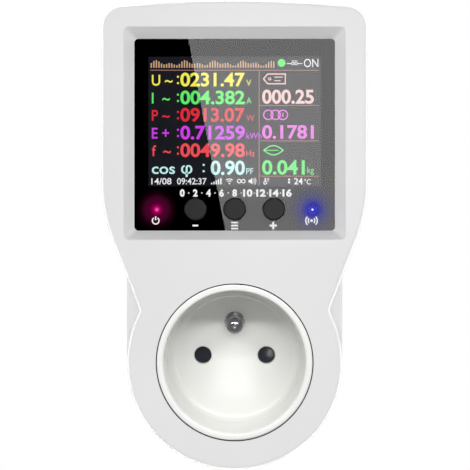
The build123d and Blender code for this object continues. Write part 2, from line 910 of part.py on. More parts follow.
# Safety shutter: two wings that cover the holes until both pins push them aside
shutter_back = socket_floor_back + shutter_front_gap + shutter_thickness
with BuildPart() as shutter:
    with BuildSketch(facing(shutter_back)):
        Circle(shutter_hub_radius)
        for middle in (0, 180):
            start = radians(middle - shutter_wing_angle / 2)
            end = radians(middle + shutter_wing_angle / 2)
            centre = radians(middle)
            with BuildLine():
                Line((0, 0), (shutter_reach * cos(start), shutter_reach * sin(start)))
                ThreePointArc(
                    (shutter_reach * cos(start), shutter_reach * sin(start)),
                    (shutter_reach * cos(centre), shutter_reach * sin(centre)),
                    (shutter_reach * cos(end), shutter_reach * sin(end)),
                )
                Line((shutter_reach * cos(end), shutter_reach * sin(end)), (0, 0))
            make_face()
        Circle(pivot_radius + fit_gap, mode=Mode.SUBTRACT)
    extrude(amount=shutter_thickness)
finish(shutter, "shutter")

# Pivot pin: its foot is pressed into the carrier, and its head keeps the shutter on
with BuildPart() as shutter_pivot:
    pivot_back = carrier_front + 2.5 * spring_room
    post(0, 0, pivot_radius, pivot_back, pivot_back - socket_floor_back)
finish(shutter_pivot, "shutter_pivot")

# Torsion spring around the pivot
with BuildPart() as shutter_spring:
    spring_back = carrier_front + spring_room - 2 * spring_wire_radius
    with BuildLine():
        coil = Helix(
            spring_pitch,
            spring_pitch * spring_turns,
            spring_coil_radius,
            center=(0, spring_back, 0),
            direction=(0, -1, 0),
        )
    with BuildSketch(Plane(origin=coil @ 0, z_dir=coil % 0)):
        Circle(spring_wire_radius)
    sweep(is_frenet=True)
finish(shutter_spring, "shutter_spring")

# Lens: a clear sheet behind the bevelled frame
with BuildPart() as display_lens:
    with BuildSketch(facing(lens_back)):
        with Locations((0, window_middle)):
            RectangleRounded(lens_width, lens_height, window_radius)
        with Locations(*[(x, button_height) for _, x in button_places]):
            Circle(button_hole_radius, mode=Mode.SUBTRACT)
    extrude(amount=lens_thickness)
finish(display_lens, "display_lens")

# Mask: the black film behind the lens, open at the picture, the buttons and the lamps
with BuildPart() as lens_mask:
    with BuildSketch(facing(mask_back)):
        with Locations((0, window_middle)):
            RectangleRounded(lens_width, lens_height, window_radius)
        with Locations((0, lcd_middle)):
            Rectangle(view_width, view_height, mode=Mode.SUBTRACT)
        with Locations(*[(x, button_height) for _, x in button_places]):
            Circle(button_hole_radius, mode=Mode.SUBTRACT)
        with Locations((lamp_spread, lamp_height), (-lamp_spread, lamp_height)):
            Circle(lamp_window_radius, mode=Mode.SUBTRACT)
    extrude(amount=mask_thickness)
finish(lens_mask, "lens_mask")

# Display module, with its picture area set back in a thin frame
with BuildPart() as lcd_module:
    block(0, lcd_middle, lcd_width, lcd_height, lcd_back, lcd_thickness)
    block(0, lcd_middle, view_width, view_height, lcd_front + view_depth, view_depth, Mode.SUBTRACT)
finish(lcd_module, "lcd_module")

# Holder: a tray on the board that grips the display on three sides
with BuildPart() as lcd_holder:
    holder_width = lcd_width + 2 * (film_gap + holder_wall)
    holder_top = lcd_middle + lcd_height / 2 + film_gap + holder_wall
    holder_bottom = lcd_middle - lcd_height / 2
    holder_height = holder_top - holder_bottom
    holder_middle = (holder_top + holder_bottom) / 2
    block(
        0,
        holder_middle,
        holder_width,
        holder_height,
        display_board_front,
        holder_floor + holder_lip,
    )
    block(
        0,
        lcd_middle - holder_wall,
        lcd_width + 2 * film_gap,
        lcd_height + 2 * (film_gap + holder_wall),
        lcd_back,
        holder_lip,
        Mode.SUBTRACT,
    )
    block(
        0,
        lcd_middle,
        view_width - 2 * holder_ledge,
        view_height - 2 * holder_ledge,
        display_board_front,
        holder_floor,
        Mode.SUBTRACT,
    )
finish(lcd_holder, "lcd_holder")

# Display board: it follows the casing and leaves room for the casing's screw bosses
with BuildPart() as display_board:
    with BuildSketch(facing(display_board_back)):
        front_outline(wall + board_gap)
        with Locations((0, display_board_bottom - casing_top / 2)):
            Rectangle(casing_width, casing_top, mode=Mode.SUBTRACT)
        with Locations(*screw_points[:2]):
            Circle(front_boss_radius + boss_gap, mode=Mode.SUBTRACT)
        with Locations(*display_screw_points):
            Circle(board_screw_radius + hole_gap, mode=Mode.SUBTRACT)
    extrude(amount=board_thickness)
finish(display_board, "display_board")

with BuildPart() as display_board_screws:
    pan_screws(
        display_screw_points,
        display_board_back + board_screw_head_height,
        board_screw_radius,
        board_screw_head_radius,
        board_screw_head_height,
        board_screw_length,
    )
finish(display_board_screws, "display_board_screws")

# Buttons: a cap through the lens with a flange behind it, a plunger and a switch for each
flange_front = mask_back + button_rest_gap
cap_back = flange_front + button_flange_thickness
switch_front = cap_back + plunger_proud
switch_depth = display_board_front - switch_front
for name, x in button_places:
    with BuildPart() as button:
        post(x, button_height, button_radius, cap_back, cap_back - lens_front + button_proud)
        fillet(button.faces().sort_by(Axis.Y)[0].edges(), button_edge_radius)
        post(x, button_height, button_radius + button_flange, cap_back, button_flange_thickness)
    finish(button, f"button_{name}")

    with BuildPart() as plunger:
        post(x, button_height, plunger_radius, cap_back + plunger_length, plunger_length)
    finish(plunger, f"switch_plunger_{name}")

    with BuildPart() as switch:
        block(x, button_height, switch_size, switch_size, display_board_front, switch_depth)
        hole_depth = plunger_length + button_travel - plunger_proud + switch_end_gap
        hole_end = switch_front + hole_depth
        post(x, button_height, plunger_radius + slide_gap, hole_end, hole_depth, Mode.SUBTRACT)
    finish(switch, f"switch_{name}")


def lamp(x):
    """Round lamp with a base flange and a domed tip just behind the lens."""
    tip = mask_back + lamp_tip_gap
    post(x, lamp_height, lamp_radius + lamp_flange, display_board_front, lamp_flange_height)
    post(x, lamp_height, lamp_radius, display_board_front, display_board_front - tip)
    dome = [e for e in edges() if abs(e.center().Y - tip) < 0.01]
    fillet(dome, lamp_radius * 0.9)


with BuildPart() as power_lamp:
    lamp(-lamp_spread)
finish(power_lamp, "power_lamp")

with BuildPart() as link_lamp:
    lamp(lamp_spread)
finish(link_lamp, "link_lamp")

# Parts on the back of the display board
with BuildPart() as radio_module:
    radio_z = display_board_bottom + radio_rise
    shield_z = radio_z - radio_shield_drop
    base_back = display_board_back + radio_base
    block(radio_x, radio_z, radio_width, radio_height, base_back, radio_base)
    shield_back = base_back + radio_shield_depth
    block(radio_x, shield_z, radio_shield_width, radio_shield_height, shield_back, radio_shield_depth)
    for step in range(3):
        trace_z = radio_z + antenna_rise + antenna_pitch * step
        block(radio_x, trace_z, radio_shield_width, antenna_width, base_back + antenna_depth, antenna_depth)
finish(radio_module, "radio_module")

with BuildPart() as controller_chip:
    chip_z = display_board_bottom + chip_rise
    block(chip_x, chip_z, chip_size, chip_size, display_board_back + chip_standoff + chip_depth, chip_depth)
    chamfer(controller_chip.faces().sort_by(Axis.Y)[-1].edges(), chip_edge)
    with BuildSketch(facing(display_board_back + chip_lead_width)):
        with Locations((chip_x, chip_z)):
            with GridLocations(chip_lead_pitch, chip_size + chip_lead_pitch, chip_lead_count, 2):
                Rectangle(chip_lead_width, chip_lead_length)
            with GridLocations(chip_size + chip_lead_pitch, chip_lead_pitch, 2, chip_lead_count):
                Rectangle(chip_lead_length, chip_lead_width)
    extrude(amount=chip_lead_width)
finish(controller_chip, "controller_chip")

with BuildPart() as buzzer:
    buzzer_z = display_board_bottom + buzzer_rise
    buzzer_back = display_board_back + buzzer_depth
    post(buzzer_x, buzzer_z, buzzer_radius, buzzer_back, buzzer_depth)
    chamfer(buzzer.faces().sort_by(Axis.Y)[-1].edges(), buzzer_edge)
    post(buzzer_x, buzzer_z, buzzer_hole_radius, buzzer_back, buzzer_hole_depth, Mode.SUBTRACT)
finish(buzzer, "buzzer")

with BuildPart() as temperature_sensor:
    sensor_z = display_board_bottom + sensor_rise
    with BuildSketch(facing(display_board_back + sensor_depth)):
        with Locations((sensor_x, sensor_z)):
            Circle(sensor_radius)
        with Locations((sensor_x, sensor_z + sensor_flat + sensor_radius)):
            Rectangle(2 * sensor_radius, 2 * sensor_radius, mode=Mode.SUBTRACT)
    extrude(amount=sensor_depth)
finish(temperature_sensor, "temperature_sensor")

# Power board on the rear cover's standoffs
with BuildPart() as power_board:
    with BuildSketch(facing(power_board_back)):
        rear_outline(wall + board_gap)
        with Locations((0, power_board_bottom - casing_top / 2)):
            Rectangle(casing_width, casing_top, mode=Mode.SUBTRACT)
        with Locations(*screw_points[:2]):
            Circle(rear_boss_radius + boss_gap, mode=Mode.SUBTRACT)
        with Locations(*power_screw_points):
            Circle(board_screw_radius + hole_gap, mode=Mode.SUBTRACT)
    extrude(amount=board_thickness)
finish(power_board, "power_board")

with BuildPart() as power_board_screws:
    posts(power_screw_points, board_screw_head_radius, power_board_front, board_screw_head_height)
    posts(power_screw_points, board_screw_radius, power_screw_tip, power_screw_length)
finish(power_board_screws, "power_board_screws")


def soften(piece):
    """Round the front rim of a part that stands on the power board."""
    fillet(piece.faces().sort_by(Axis.Y)[0].edges(), component_edge)


with BuildPart() as relay:
    relay_z = power_board_bottom + relay_rise
    block(relay_x, relay_z, relay_width, relay_height, power_board_front, relay_depth)
    soften(relay)
finish(relay, "relay")

with BuildPart() as transformer:
    transformer_z = power_board_bottom + transformer_rise
    bobbin_front = power_board_front - bobbin_depth
    block(transformer_x, transformer_z, core_width, core_height, power_board_front, core_depth)
    block(transformer_x, transformer_z, winding_width, winding_height, bobbin_front, winding_depth)
    block(transformer_x, transformer_z, bobbin_width, bobbin_height, power_board_front, bobbin_depth)
finish(transformer, "transformer")

with BuildPart() as noise_capacitor:
    block(
        noise_capacitor_x,
        power_board_bottom + noise_capacitor_rise,
        noise_capacitor_width,
        noise_capacitor_height,
        power_board_front,
        noise_capacitor_depth,
    )
    soften(noise_capacitor)
finish(noise_capacitor, "noise_capacitor")

with BuildPart() as storage_capacitor:
    post(
        storage_capacitor_x,
        power_board_bottom + storage_capacitor_rise,
        storage_capacitor_radius,
        power_board_front,
        storage_capacitor_depth,
    )
    soften(storage_capacitor)
finish(storage_capacitor, "storage_capacitor")

with BuildPart() as output_capacitor:
    post(
        output_capacitor_x,
        power_board_bottom + output_capacitor_rise,
        output_capacitor_radius,
        power_board_front,
        output_capacitor_depth,
    )
    soften(output_capacitor)
finish(output_capacitor, "output_capacitor")

with BuildPart() as fuse:
    post(fuse_x, power_board_bottom + fuse_rise, fuse_radius, power_board_front, fuse_depth)
    soften(fuse)
finish(fuse, "fuse")

with BuildPart() as varistor:
    varistor_y = power_board_front - varistor_stand - varistor_radius
    leg_y = power_board_front - varistor_leg_length / 2
    with BuildSketch(Plane.XY.offset(power_board_bottom + varistor_rise)):
        with Locations((varistor_x, varistor_y)):
            Circle(varistor_radius)
        leg_places = [(varistor_x + side * varistor_leg_spread, leg_y) for side in (-1, 1)]
        with Locations(*leg_places):
            Rectangle(varistor_leg_width, varistor_leg_length)
    extrude(amount=varistor_thickness)
finish(varistor, "varistor")

with BuildPart() as shunt:
    inner_depth = shunt_depth - shunt_top_thickness
    with BuildSketch(Plane.XY.offset(power_board_bottom + shunt_rise)):
        with Locations((shunt_x, power_board_front - shunt_depth / 2)):
            Rectangle(shunt_width, shunt_depth)
        with Locations((shunt_x, power_board_front - inner_depth / 2)):
            Rectangle(shunt_width - 2 * shunt_thickness, inner_depth, mode=Mode.SUBTRACT)
    extrude(amount=shunt_height)
finish(shunt, "shunt")

with BuildPart() as metering_chip:
    metering_z = power_board_bottom + metering_rise
    block(metering_x, metering_z, metering_width, metering_height, power_board_front, metering_depth)
    with BuildSketch(facing(power_board_front)):
        with Locations((metering_x, metering_z)):
            with GridLocations(metering_lead_row, metering_lead_pitch, 2, metering_lead_count):
                Rectangle(metering_lead_length, metering_lead_width)
    extrude(amount=metering_lead_depth)
finish(metering_chip, "metering_chip")

# Screw terminals at the board's lower edge, with a wire hole in each underside
terminal_middle = terminal_bottom + terminal_height / 2
wire_depth = power_board_front - terminal_depth / 2
with BuildPart() as board_terminals:
    screw_floor = power_board_front - terminal_depth + terminal_screw_depth
    for x in (-outlet_terminal, -supply_terminal, supply_terminal, outlet_terminal):
        block(x, terminal_middle, terminal_width, terminal_height, power_board_front, terminal_depth)
        post(x, terminal_middle, terminal_screw_radius, screw_floor, terminal_screw_depth, Mode.SUBTRACT)
        with BuildSketch(Plane.XY.offset(terminal_bottom)):
            with Locations((x, wire_depth)):
                Circle(wire_radius + terminal_hole_gap)
        extrude(amount=terminal_height / 2, mode=Mode.SUBTRACT)
finish(board_terminals, "board_terminals")

# Ribbon lead between the boards, and the connector on each board
ribbon_z = display_board_bottom + connector_rise
ribbon_front = display_board_back + connector_depth
ribbon_back = power_board_front - connector_depth
with BuildPart() as board_connectors:
    block(0, ribbon_z, connector_width, connector_height, ribbon_front, connector_depth)
    block(0, ribbon_z, connector_width, connector_height, power_board_front, connector_depth)
finish(board_connectors, "board_connectors")

with BuildPart() as ribbon_lead:
    ribbon_top = ribbon_z + ribbon_thickness
    ribbon_middle = (ribbon_front + ribbon_back) / 2
    with BuildSketch(Plane.YZ.offset(-ribbon_width / 2)):
        with BuildLine():
            ThreePointArc(
                (ribbon_front, ribbon_z),
                (ribbon_middle, ribbon_z - ribbon_sag),
                (ribbon_back, ribbon_z),
            )
            Line((ribbon_back, ribbon_z), (ribbon_back, ribbon_top))
            ThreePointArc(
                (ribbon_back, ribbon_top),
                (ribbon_middle, ribbon_top - ribbon_sag),
                (ribbon_front, ribbon_top),
            )
            Line((ribbon_front, ribbon_top), (ribbon_front, ribbon_z))
        make_face()
    extrude(amount=ribbon_width)
finish(ribbon_lead, "ribbon_lead")


def supply_wire(side):
    """Wire from a plug pin's root, through the carrier, to its terminal on the power board."""
    run_depth = carrier_back - channel_depth / 2
    turn_depth = -plug_root_length - root_run
    with BuildLine():
        route = FilletPolyline(
            (side * pin_offset, -plug_root_length, 0),
            (side * pin_offset, turn_depth, 0),
            (side * passage_x, turn_depth, passage_z),
            (side * passage_x, run_depth, passage_z),
            (side * passage_x, run_depth, socket_wall_radius + climb_gap),
            (side * supply_terminal, wire_depth, terminal_bottom - entry_run),
            (side * supply_terminal, wire_depth, terminal_bottom + entry_depth),
            radius=wire_bend,
        )
    with BuildSketch(Plane(origin=route @ 0, z_dir=route % 0)) as section:
        Circle(wire_radius)
    sweep(section.sketch, path=route)


def outlet_wire(side):
    """Wire from an outlet contact's tab, up the side, to its terminal on the power board."""
    tab_middle = tab_back - tab_width / 2
    wire_side = tab_reach - wire_radius
    with BuildLine():
        route = FilletPolyline(
            (side * wire_side, tab_middle, tab_thickness / 2),
            (side * wire_side, tab_middle, terminal_bottom - side_run_end),
            (side * outlet_terminal, wire_depth, terminal_bottom - side_turn_end),
            (side * outlet_terminal, wire_depth, terminal_bottom + entry_depth),
            radius=side_wire_bend,
        )
    with BuildSketch(Plane(origin=route @ 0, z_dir=route % 0)) as section:
        Circle(wire_radius)
    sweep(section.sketch, path=route)


with BuildPart() as supply_live_wire:
    supply_wire(1)
finish(supply_live_wire, "supply_live_wire")

with BuildPart() as supply_neutral_wire:
    supply_wire(-1)
finish(supply_neutral_wire, "supply_neutral_wire")

with BuildPart() as outlet_live_wire:
    outlet_wire(1)
finish(outlet_live_wire, "outlet_live_wire")

with BuildPart() as outlet_neutral_wire:
    outlet_wire(-1)
finish(outlet_neutral_wire, "outlet_neutral_wire")

# Casing screws, seated at the bottom of the recesses in the back
with BuildPart() as casing_screws:
    pan_screws(
        screw_points,
        casing_back - screw_recess_depth + screw_head_height,
        screw_radius,
        screw_head_radius,
        screw_head_height,
        screw_length,
    )
finish(casing_screws, "casing_screws")
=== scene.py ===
"""Looks of a plug-in energy meter with a colour screen, three keys, two lamps and an outlet."""

import math

import bpy
from mathutils import Matrix, Vector


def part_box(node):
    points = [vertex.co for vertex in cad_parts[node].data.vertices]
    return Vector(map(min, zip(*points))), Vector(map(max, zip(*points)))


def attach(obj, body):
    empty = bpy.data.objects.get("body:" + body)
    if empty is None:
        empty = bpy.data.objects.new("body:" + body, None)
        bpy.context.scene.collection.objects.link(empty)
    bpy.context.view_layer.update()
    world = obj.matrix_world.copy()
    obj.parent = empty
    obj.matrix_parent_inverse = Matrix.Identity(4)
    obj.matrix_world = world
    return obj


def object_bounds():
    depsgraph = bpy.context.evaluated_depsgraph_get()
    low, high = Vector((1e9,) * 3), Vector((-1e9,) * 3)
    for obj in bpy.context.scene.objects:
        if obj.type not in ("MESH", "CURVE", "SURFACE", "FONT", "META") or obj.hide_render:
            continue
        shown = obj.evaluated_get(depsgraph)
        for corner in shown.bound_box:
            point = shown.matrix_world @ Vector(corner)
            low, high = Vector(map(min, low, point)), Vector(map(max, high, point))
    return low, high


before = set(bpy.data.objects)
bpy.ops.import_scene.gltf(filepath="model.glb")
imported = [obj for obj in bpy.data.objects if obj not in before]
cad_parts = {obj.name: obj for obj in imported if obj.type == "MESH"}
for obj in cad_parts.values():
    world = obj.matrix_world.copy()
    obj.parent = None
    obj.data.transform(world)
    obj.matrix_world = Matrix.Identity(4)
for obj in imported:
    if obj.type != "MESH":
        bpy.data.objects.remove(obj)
cad_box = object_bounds()

MM = 0.001

# Photograph: the camera looks level along +Y from in front of the object
CAMERA_PLACE = (0.1 * MM, -316 * MM, 35.9 * MM)
CAMERA_LENS = 71.24
CAMERA_SENSOR = 36.0

# Noise: the middle of its range, which is spread over colours and gloss
NOISE_LOW = 0.3
NOISE_HIGH = 0.7

# Moulded plastic: how broad the drift of its tone is, and how its gloss varies
DRIFT_PERIOD = 22 * MM
GLOSS_DRIFT = 0.05
PLASTIC_IOR = 1.46

# Clear lens
LENS_DRIFT_PERIOD = 30 * MM
LENS_IOR = 1.49

# Metal: turning marks and stain
MARK_PERIOD = 0.12 * MM
MARK_DEPTH = 0.0008 * MM
STAIN_PERIOD = 3.5 * MM
STAIN = 0.05

# Circuit board: copper fields and lacquer
TRACK_GAP = 0.35 * MM
TRACK_LENGTH = 6.5 * MM
TRACK_PITCH = 2.3 * MM
LACQUER_PERIOD = 0.3 * MM
LACQUER_DEPTH = 0.006 * MM

# Tape and ribbon: bands that the wave texture makes in one unit, and their relief
WAVE_BANDS = 20
BAND_DEPTH = 0.02 * MM

# Lit marks: the size of the screen's dots, and how their light varies
DOT_PERIOD = 0.14 * MM
FLICKER = 0.08

# Light: each share is the part of full white that the light gives a surface facing it
SKY_SHARE = 0.37
TOP_SHARE = 0.02
BOTTOM_SHARE = 0.01
SIDE_SHARE = 0.30
FRONT_SHARE = 0.46
BACK_SHARE = 0.40
SOCKET_SHARE = 0.89

# Soft boxes: degrees to the right and upward, distance, width and height in metres, and share
BOXES = {
    "top_box": (0.0, 48.0, 0.9, 1.3, 0.35, TOP_SHARE),
    "front_box": (0.0, 0.0, 0.9, 0.9, 0.9, FRONT_SHARE),
    "back_box": (180.0, 30.0, 1.0, 1.0, 0.8, BACK_SHARE),
    "low_box": (0.0, -48.0, 0.9, 1.3, 0.35, BOTTOM_SHARE),
    "left_box": (-65.0, 4.0, 0.9, 0.5, 0.8, SIDE_SHARE),
    "right_box": (65.0, 4.0, 0.9, 0.5, 0.8, SIDE_SHARE),
    "socket_box": (0.0, 29.0, 0.6, 0.9, 0.05, SOCKET_SHARE),
}
SOCKET_PARTS = ("socket_cup", "outlet_earth_pin", "shutter")

# Room and floor round the object
WHITE = (1.0, 1.0, 1.0, 1.0)
BLACK = (0.0, 0.0, 0.0, 1.0)
SURROUND_RADIUS = 4.0
SURROUND_RINGS = 12
SURROUND_TURNS = 24
FLOOR_DROP = 220 * MM
FLOOR_HALF = 1.5

# Reflection in the lens: its slanted edge, as two points on the lens face, how far the cards
# reach to the sides and upward, and how far below the foot as a share of the edge
CARD_AHEAD = 200 * MM
CARD_GLOW = 3.7
EDGE_TOP = (-13.31 * MM, 92.05 * MM)
EDGE_FOOT = (-2.72 * MM, 37.33 * MM)
CARD_REACH = 57 * MM
CARD_TOP = 138 * MM
CARD_FOOT_SPARE = 0.04

# Reflections in the socket: a band down its floor and a glint behind one pin hole
STRIP_GLOW = 5.5
STRIP_LOW = (-5.5 * MM, -12.5 * MM)
STRIP_HIGH = (5.5 * MM, 7.0 * MM)
GLINT_GLOW = 9.0
GLINT_LOW = (10.0 * MM, -0.6 * MM)
GLINT_HIGH = (11.2 * MM, 1.4 * MM)

# Dip in the bright card round the link lamp, whose own light outshines the reflection
DIP_REACH = 12.3 * MM
DIP_STOPS = [
    (0.08, (0.03, 0.03, 0.03, 1.0)),
    (0.30, (0.42, 0.42, 0.42, 1.0)),
    (0.50, (0.75, 0.75, 0.75, 1.0)),
    (0.75, (0.90, 0.90, 0.90, 1.0)),
    (1.0, (1.0, 1.0, 1.0, 1.0)),
]

# Bright hoop that stands behind the object's face, so that only rounded edges mirror it
HOOP_RADIUS = 0.45
HOOP_BEHIND = (0.02, 0.20)
HOOP_GLOW = 12.0
HOOP_TURNS = 72

# Dark ring in the gap round the socket, painted shade that stands for the shadow deep in the gap:
# radii, and depths behind the cover's face
GAP_SHADE_LIP = 21.87 * MM
GAP_SHADE_INNER = 22.03 * MM
GAP_SHADE_OUTER = 22.23 * MM
GAP_SHADE_DROP = 0.05 * MM
GAP_SHADE_WAIST = 0.22 * MM
GAP_SHADE_DEPTH = 0.6 * MM
GAP_SHADE_TURNS = 144

# Screen: the picture's size in millimetres, its depth in the module, how far its marks and the
# lens print stand before what carries them, and how broad the drift of its dark ground is
VIEW_WIDTH = 49.6
VIEW_HEIGHT = 37.3
POCKET = 0.25 * MM
GROUND_DRIFT_PERIOD = 16 * MM
MARK_LIFT = 0.03 * MM
PRINT_LIFT = 0.02 * MM

# Screen layout in millimetres, right and down from the picture's top left corner, as are the
# places of the marks in the functions that draw them
RULE_WIDTH = 0.22
HEADER_RULE = 3.85
COLUMN_RULE = 31.85
RIGHT_RULES = (14.0, 24.2, 34.35)
RIGHT_MARGIN = 49.1
LABEL_LEFT = 0.95
LABEL_CAP = 3.0
COLON_AT = 8.2
COLON_DOT = 0.55
READING_LEFT = 9.15
READING_RIGHT = 27.75
READING_CAP = 3.65
FACTOR_COLON_AT = 15.6
FACTOR_LEFT = 17.9
UNIT_LEFT = 28.15
UNIT_CAP = 1.75
RIGHT_LEFT = 32.7
STATUS_BASE = 36.7
STATUS_CAP = 1.75

# Strip of past readings in the header
HISTORY_BARS = 49
HISTORY_LEFT = 0.6
HISTORY_PITCH = 0.735
HISTORY_BAR = 0.40
HISTORY_BASE = -3.15
HISTORY_MEAN = 1.35
HISTORY_SWING = 0.85
HISTORY_WAVE = 0.83
HISTORY_BEAT = 0.29
HISTORY_PHASE = 1.1

# Font: stroke growth that makes plain letters bold, as a share of their size
BOLD = 0.026
EXTRA_BOLD = 0.05
HALF_BOLD = 0.012
LETTER_STEPS = 5
LETTER_WIDTH = 0.9
MITRE_LIMIT = 0.35

# Lens print, in millimetres in the object's own frame
KEY_SPACING = 11.2
LEGEND_HEIGHT = 38.6
SCALE_BASE = 47.0
SCALE_CAP = 1.85
SCALE_REACH = 15.0
SCALE_NUMBERS = ("0", "2", "4", "6", "8", "10", "12", "14", "16")
SCALE_FIGURE_HALF = 0.68
POWER_SIGN_AT = (-22.6, 40.0)
LINK_SIGN_AT = (22.0, 40.0)


def blank_material(name):
    """A new node material, its tree and its shader."""
    material = bpy.data.materials.new(name)
    material.use_nodes = True
    tree = material.node_tree
    return material, tree, tree.nodes["Principled BSDF"]


def add_node(tree, kind, inputs=None, **settings):
    """A node with its settings and the plain values of its inputs."""
    made = tree.nodes.new(kind)
    for key, value in settings.items():
        setattr(made, key, value)
    for key, value in (inputs or {}).items():
        made.inputs[key].default_value = value
    return made


def object_place(tree, stretch=(1.0, 1.0, 1.0)):
    """Places on the object in metres, stretched along each axis."""
    coords = add_node(tree, "ShaderNodeTexCoord")
    mapping = add_node(tree, "ShaderNodeMapping", {"Scale": stretch})
    tree.links.new(coords.outputs["Object"], mapping.inputs["Vector"])
    return mapping.outputs["Vector"]


def noise(tree, place, period, detail=3.0):
    """Soft random tone whose blotches are about one period across."""
    made = add_node(tree, "ShaderNodeTexNoise", {"Scale": 1.0 / period, "Detail": detail})
    tree.links.new(place, made.inputs["Vector"])
    return made.outputs["Fac"]


def ramp(tree, value, stops):
    """Colours along a value, as pairs of a position and a colour."""
    made = add_node(tree, "ShaderNodeValToRGB")
    elements = made.color_ramp.elements
    elements[0].position, elements[0].color = stops[0]
    elements[1].position, elements[1].color = stops[-1]
    for position, colour in stops[1:-1]:
        elements.new(position).color = colour
    tree.links.new(value, made.inputs["Fac"])
    return made.outputs["Color"]


def spread(tree, value, low, high):
    """The middle of a noise's range spread over low to high."""
    limits = {"From Min": NOISE_LOW, "From Max": NOISE_HIGH, "To Min": low, "To Max": high}
    made = add_node(tree, "ShaderNodeMapRange", limits)
    tree.links.new(value, made.inputs["Value"])
    return made.outputs["Result"]


def relief(tree, shader, height, depth):
    """Bump of a real depth from a height between 0 and 1."""
    made = add_node(tree, "ShaderNodeBump", {"Strength": 1.0, "Distance": depth})
    tree.links.new(height, made.inputs["Height"])
    tree.links.new(made.outputs["Normal"], shader.inputs["Normal"])


def shade(colour, factor):
    """A colour made lighter or darker."""
    return tuple(min(channel * factor, 1.0) for channel in colour) + (1.0,)


def toned(tree, shader, value, colour, mottle):
    """Base colour that drifts a little either side of its mean."""
    stops = [(NOISE_LOW, shade(colour, 1 - mottle)), (NOISE_HIGH, shade(colour, 1 + mottle))]
    tree.links.new(ramp(tree, value, stops), shader.inputs["Base Color"])


def moulded(name, colour, roughness, grain=0.22, depth=0.003, mottle=0.012, sheen=0.5):
    """Moulded plastic: a fine sparked grain, and broad faint drifts of tone and gloss."""
    material, tree, shader = blank_material(name)
    place = object_place(tree)
    broad = noise(tree, place, DRIFT_PERIOD)
    fine = noise(tree, place, grain * MM, detail=5.0)
    toned(tree, shader, broad, colour, mottle)
    gloss = spread(tree, fine, roughness - GLOSS_DRIFT, roughness + GLOSS_DRIFT)
    tree.links.new(gloss, shader.inputs["Roughness"])
    relief(tree, shader, fine, depth * MM)
    shader.inputs["IOR"].default_value = PLASTIC_IOR
    shader.inputs["Specular IOR Level"].default_value = sheen
    return material


def metal(name, colour, roughness, along=(1.0, 0.06, 1.0)):
    """Drawn or turned metal: fine marks stretched along one axis, and a faint stain."""
    material, tree, shader = blank_material(name)
    marks = noise(tree, object_place(tree, along), MARK_PERIOD, detail=4.0)
    stain = noise(tree, object_place(tree), STAIN_PERIOD)
    toned(tree, shader, stain, colour, STAIN)
    gloss = spread(tree, marks, roughness * 0.75, roughness * 1.3)
    tree.links.new(gloss, shader.inputs["Roughness"])
    relief(tree, shader, marks, MARK_DEPTH)
    shader.inputs["Metallic"].default_value = 1.0
    return material


def laminate(name, colour, copper):
    """Circuit board: lacquer over copper fields that show as paler lines."""
    material, tree, shader = blank_material(name)
    place = object_place(tree)
    parts = add_node(tree, "ShaderNodeSeparateXYZ")
    flat = add_node(tree, "ShaderNodeCombineXYZ")
    tree.links.new(place, parts.inputs["Vector"])
    tree.links.new(parts.outputs["X"], flat.inputs["X"])
    tree.links.new(parts.outputs["Z"], flat.inputs["Y"])
    fields = {
        "Scale": 1.0,
        "Mortar Size": TRACK_GAP,
        "Brick Width": TRACK_LENGTH,
        "Row Height": TRACK_PITCH,
        "Color1": colour,
        "Color2": shade(colour[:3], 0.86),
        "Mortar": copper,
    }
    tracks = add_node(tree, "ShaderNodeTexBrick", fields)
    tree.links.new(flat.outputs["Vector"], tracks.inputs["Vector"])
    tree.links.new(tracks.outputs["Color"], shader.inputs["Base Color"])
    relief(tree, shader, noise(tree, place, LACQUER_PERIOD), LACQUER_DEPTH)
    shader.inputs["Roughness"].default_value = 0.32
    return material


def banded(name, colour, second, period, axis):
    """Wound tape, sleeve or ribbon: bands of two tones across one axis."""
    material, tree, shader = blank_material(name)
    place = object_place(tree)
    waves = {"Scale": 1.0 / period / WAVE_BANDS, "Distortion": 0.4, "Detail": 1.0}
    bands = add_node(tree, "ShaderNodeTexWave", waves, bands_direction=axis)
    tree.links.new(place, bands.inputs["Vector"])
    stops = [(0.42, shade(colour, 1.0)), (0.58, shade(second, 1.0))]
    tree.links.new(ramp(tree, bands.outputs["Fac"], stops), shader.inputs["Base Color"])
    relief(tree, shader, bands.outputs["Fac"], BAND_DEPTH)
    shader.inputs["Roughness"].default_value = 0.4
    return material


def clear_plastic(name):
    """Clear lens: a faint drift of tint in the sheet, and a polished face."""
    material, tree, shader = blank_material(name)
    drift = noise(tree, object_place(tree), LENS_DRIFT_PERIOD, detail=1.0)
    toned(tree, shader, drift, (0.985, 0.985, 0.985), 0.01)
    shader.inputs["Transmission Weight"].default_value = 1.0
    shader.inputs["Roughness"].default_value = 0.0
    shader.inputs["IOR"].default_value = LENS_IOR
    return material


def lit(name, colour, strength):
    """Lit part of the screen: its light varies a little from dot to dot."""
    material, tree, shader = blank_material(name)
    dots = noise(tree, object_place(tree), DOT_PERIOD, detail=1.0)
    glow = spread(tree, dots, strength * (1 - FLICKER), strength * (1 + FLICKER))
    tree.links.new(glow, shader.inputs["Emission Strength"])
    shader.inputs["Emission Color"].default_value = colour + (1.0,)
    shader.inputs["Base Color"].default_value = BLACK
    shader.inputs["Roughness"].default_value = 0.5
    shader.inputs["Specular IOR Level"].default_value = 0.0
    return material


def fade(tree, spot, reach, stops):
    """Colours outwards from an axis along Y, as shares of a reach."""
    middle = {1: (spot[0], 0.0, spot[1])}
    distance = add_node(tree, "ShaderNodeVectorMath", middle, operation="DISTANCE")
    tree.links.new(object_place(tree, (1.0, 0.0, 1.0)), distance.inputs[0])
    share = add_node(tree, "ShaderNodeMath", {1: reach}, operation="DIVIDE")
    tree.links.new(distance.outputs["Value"], share.inputs[0])
    return ramp(tree, share.outputs["Value"], stops)


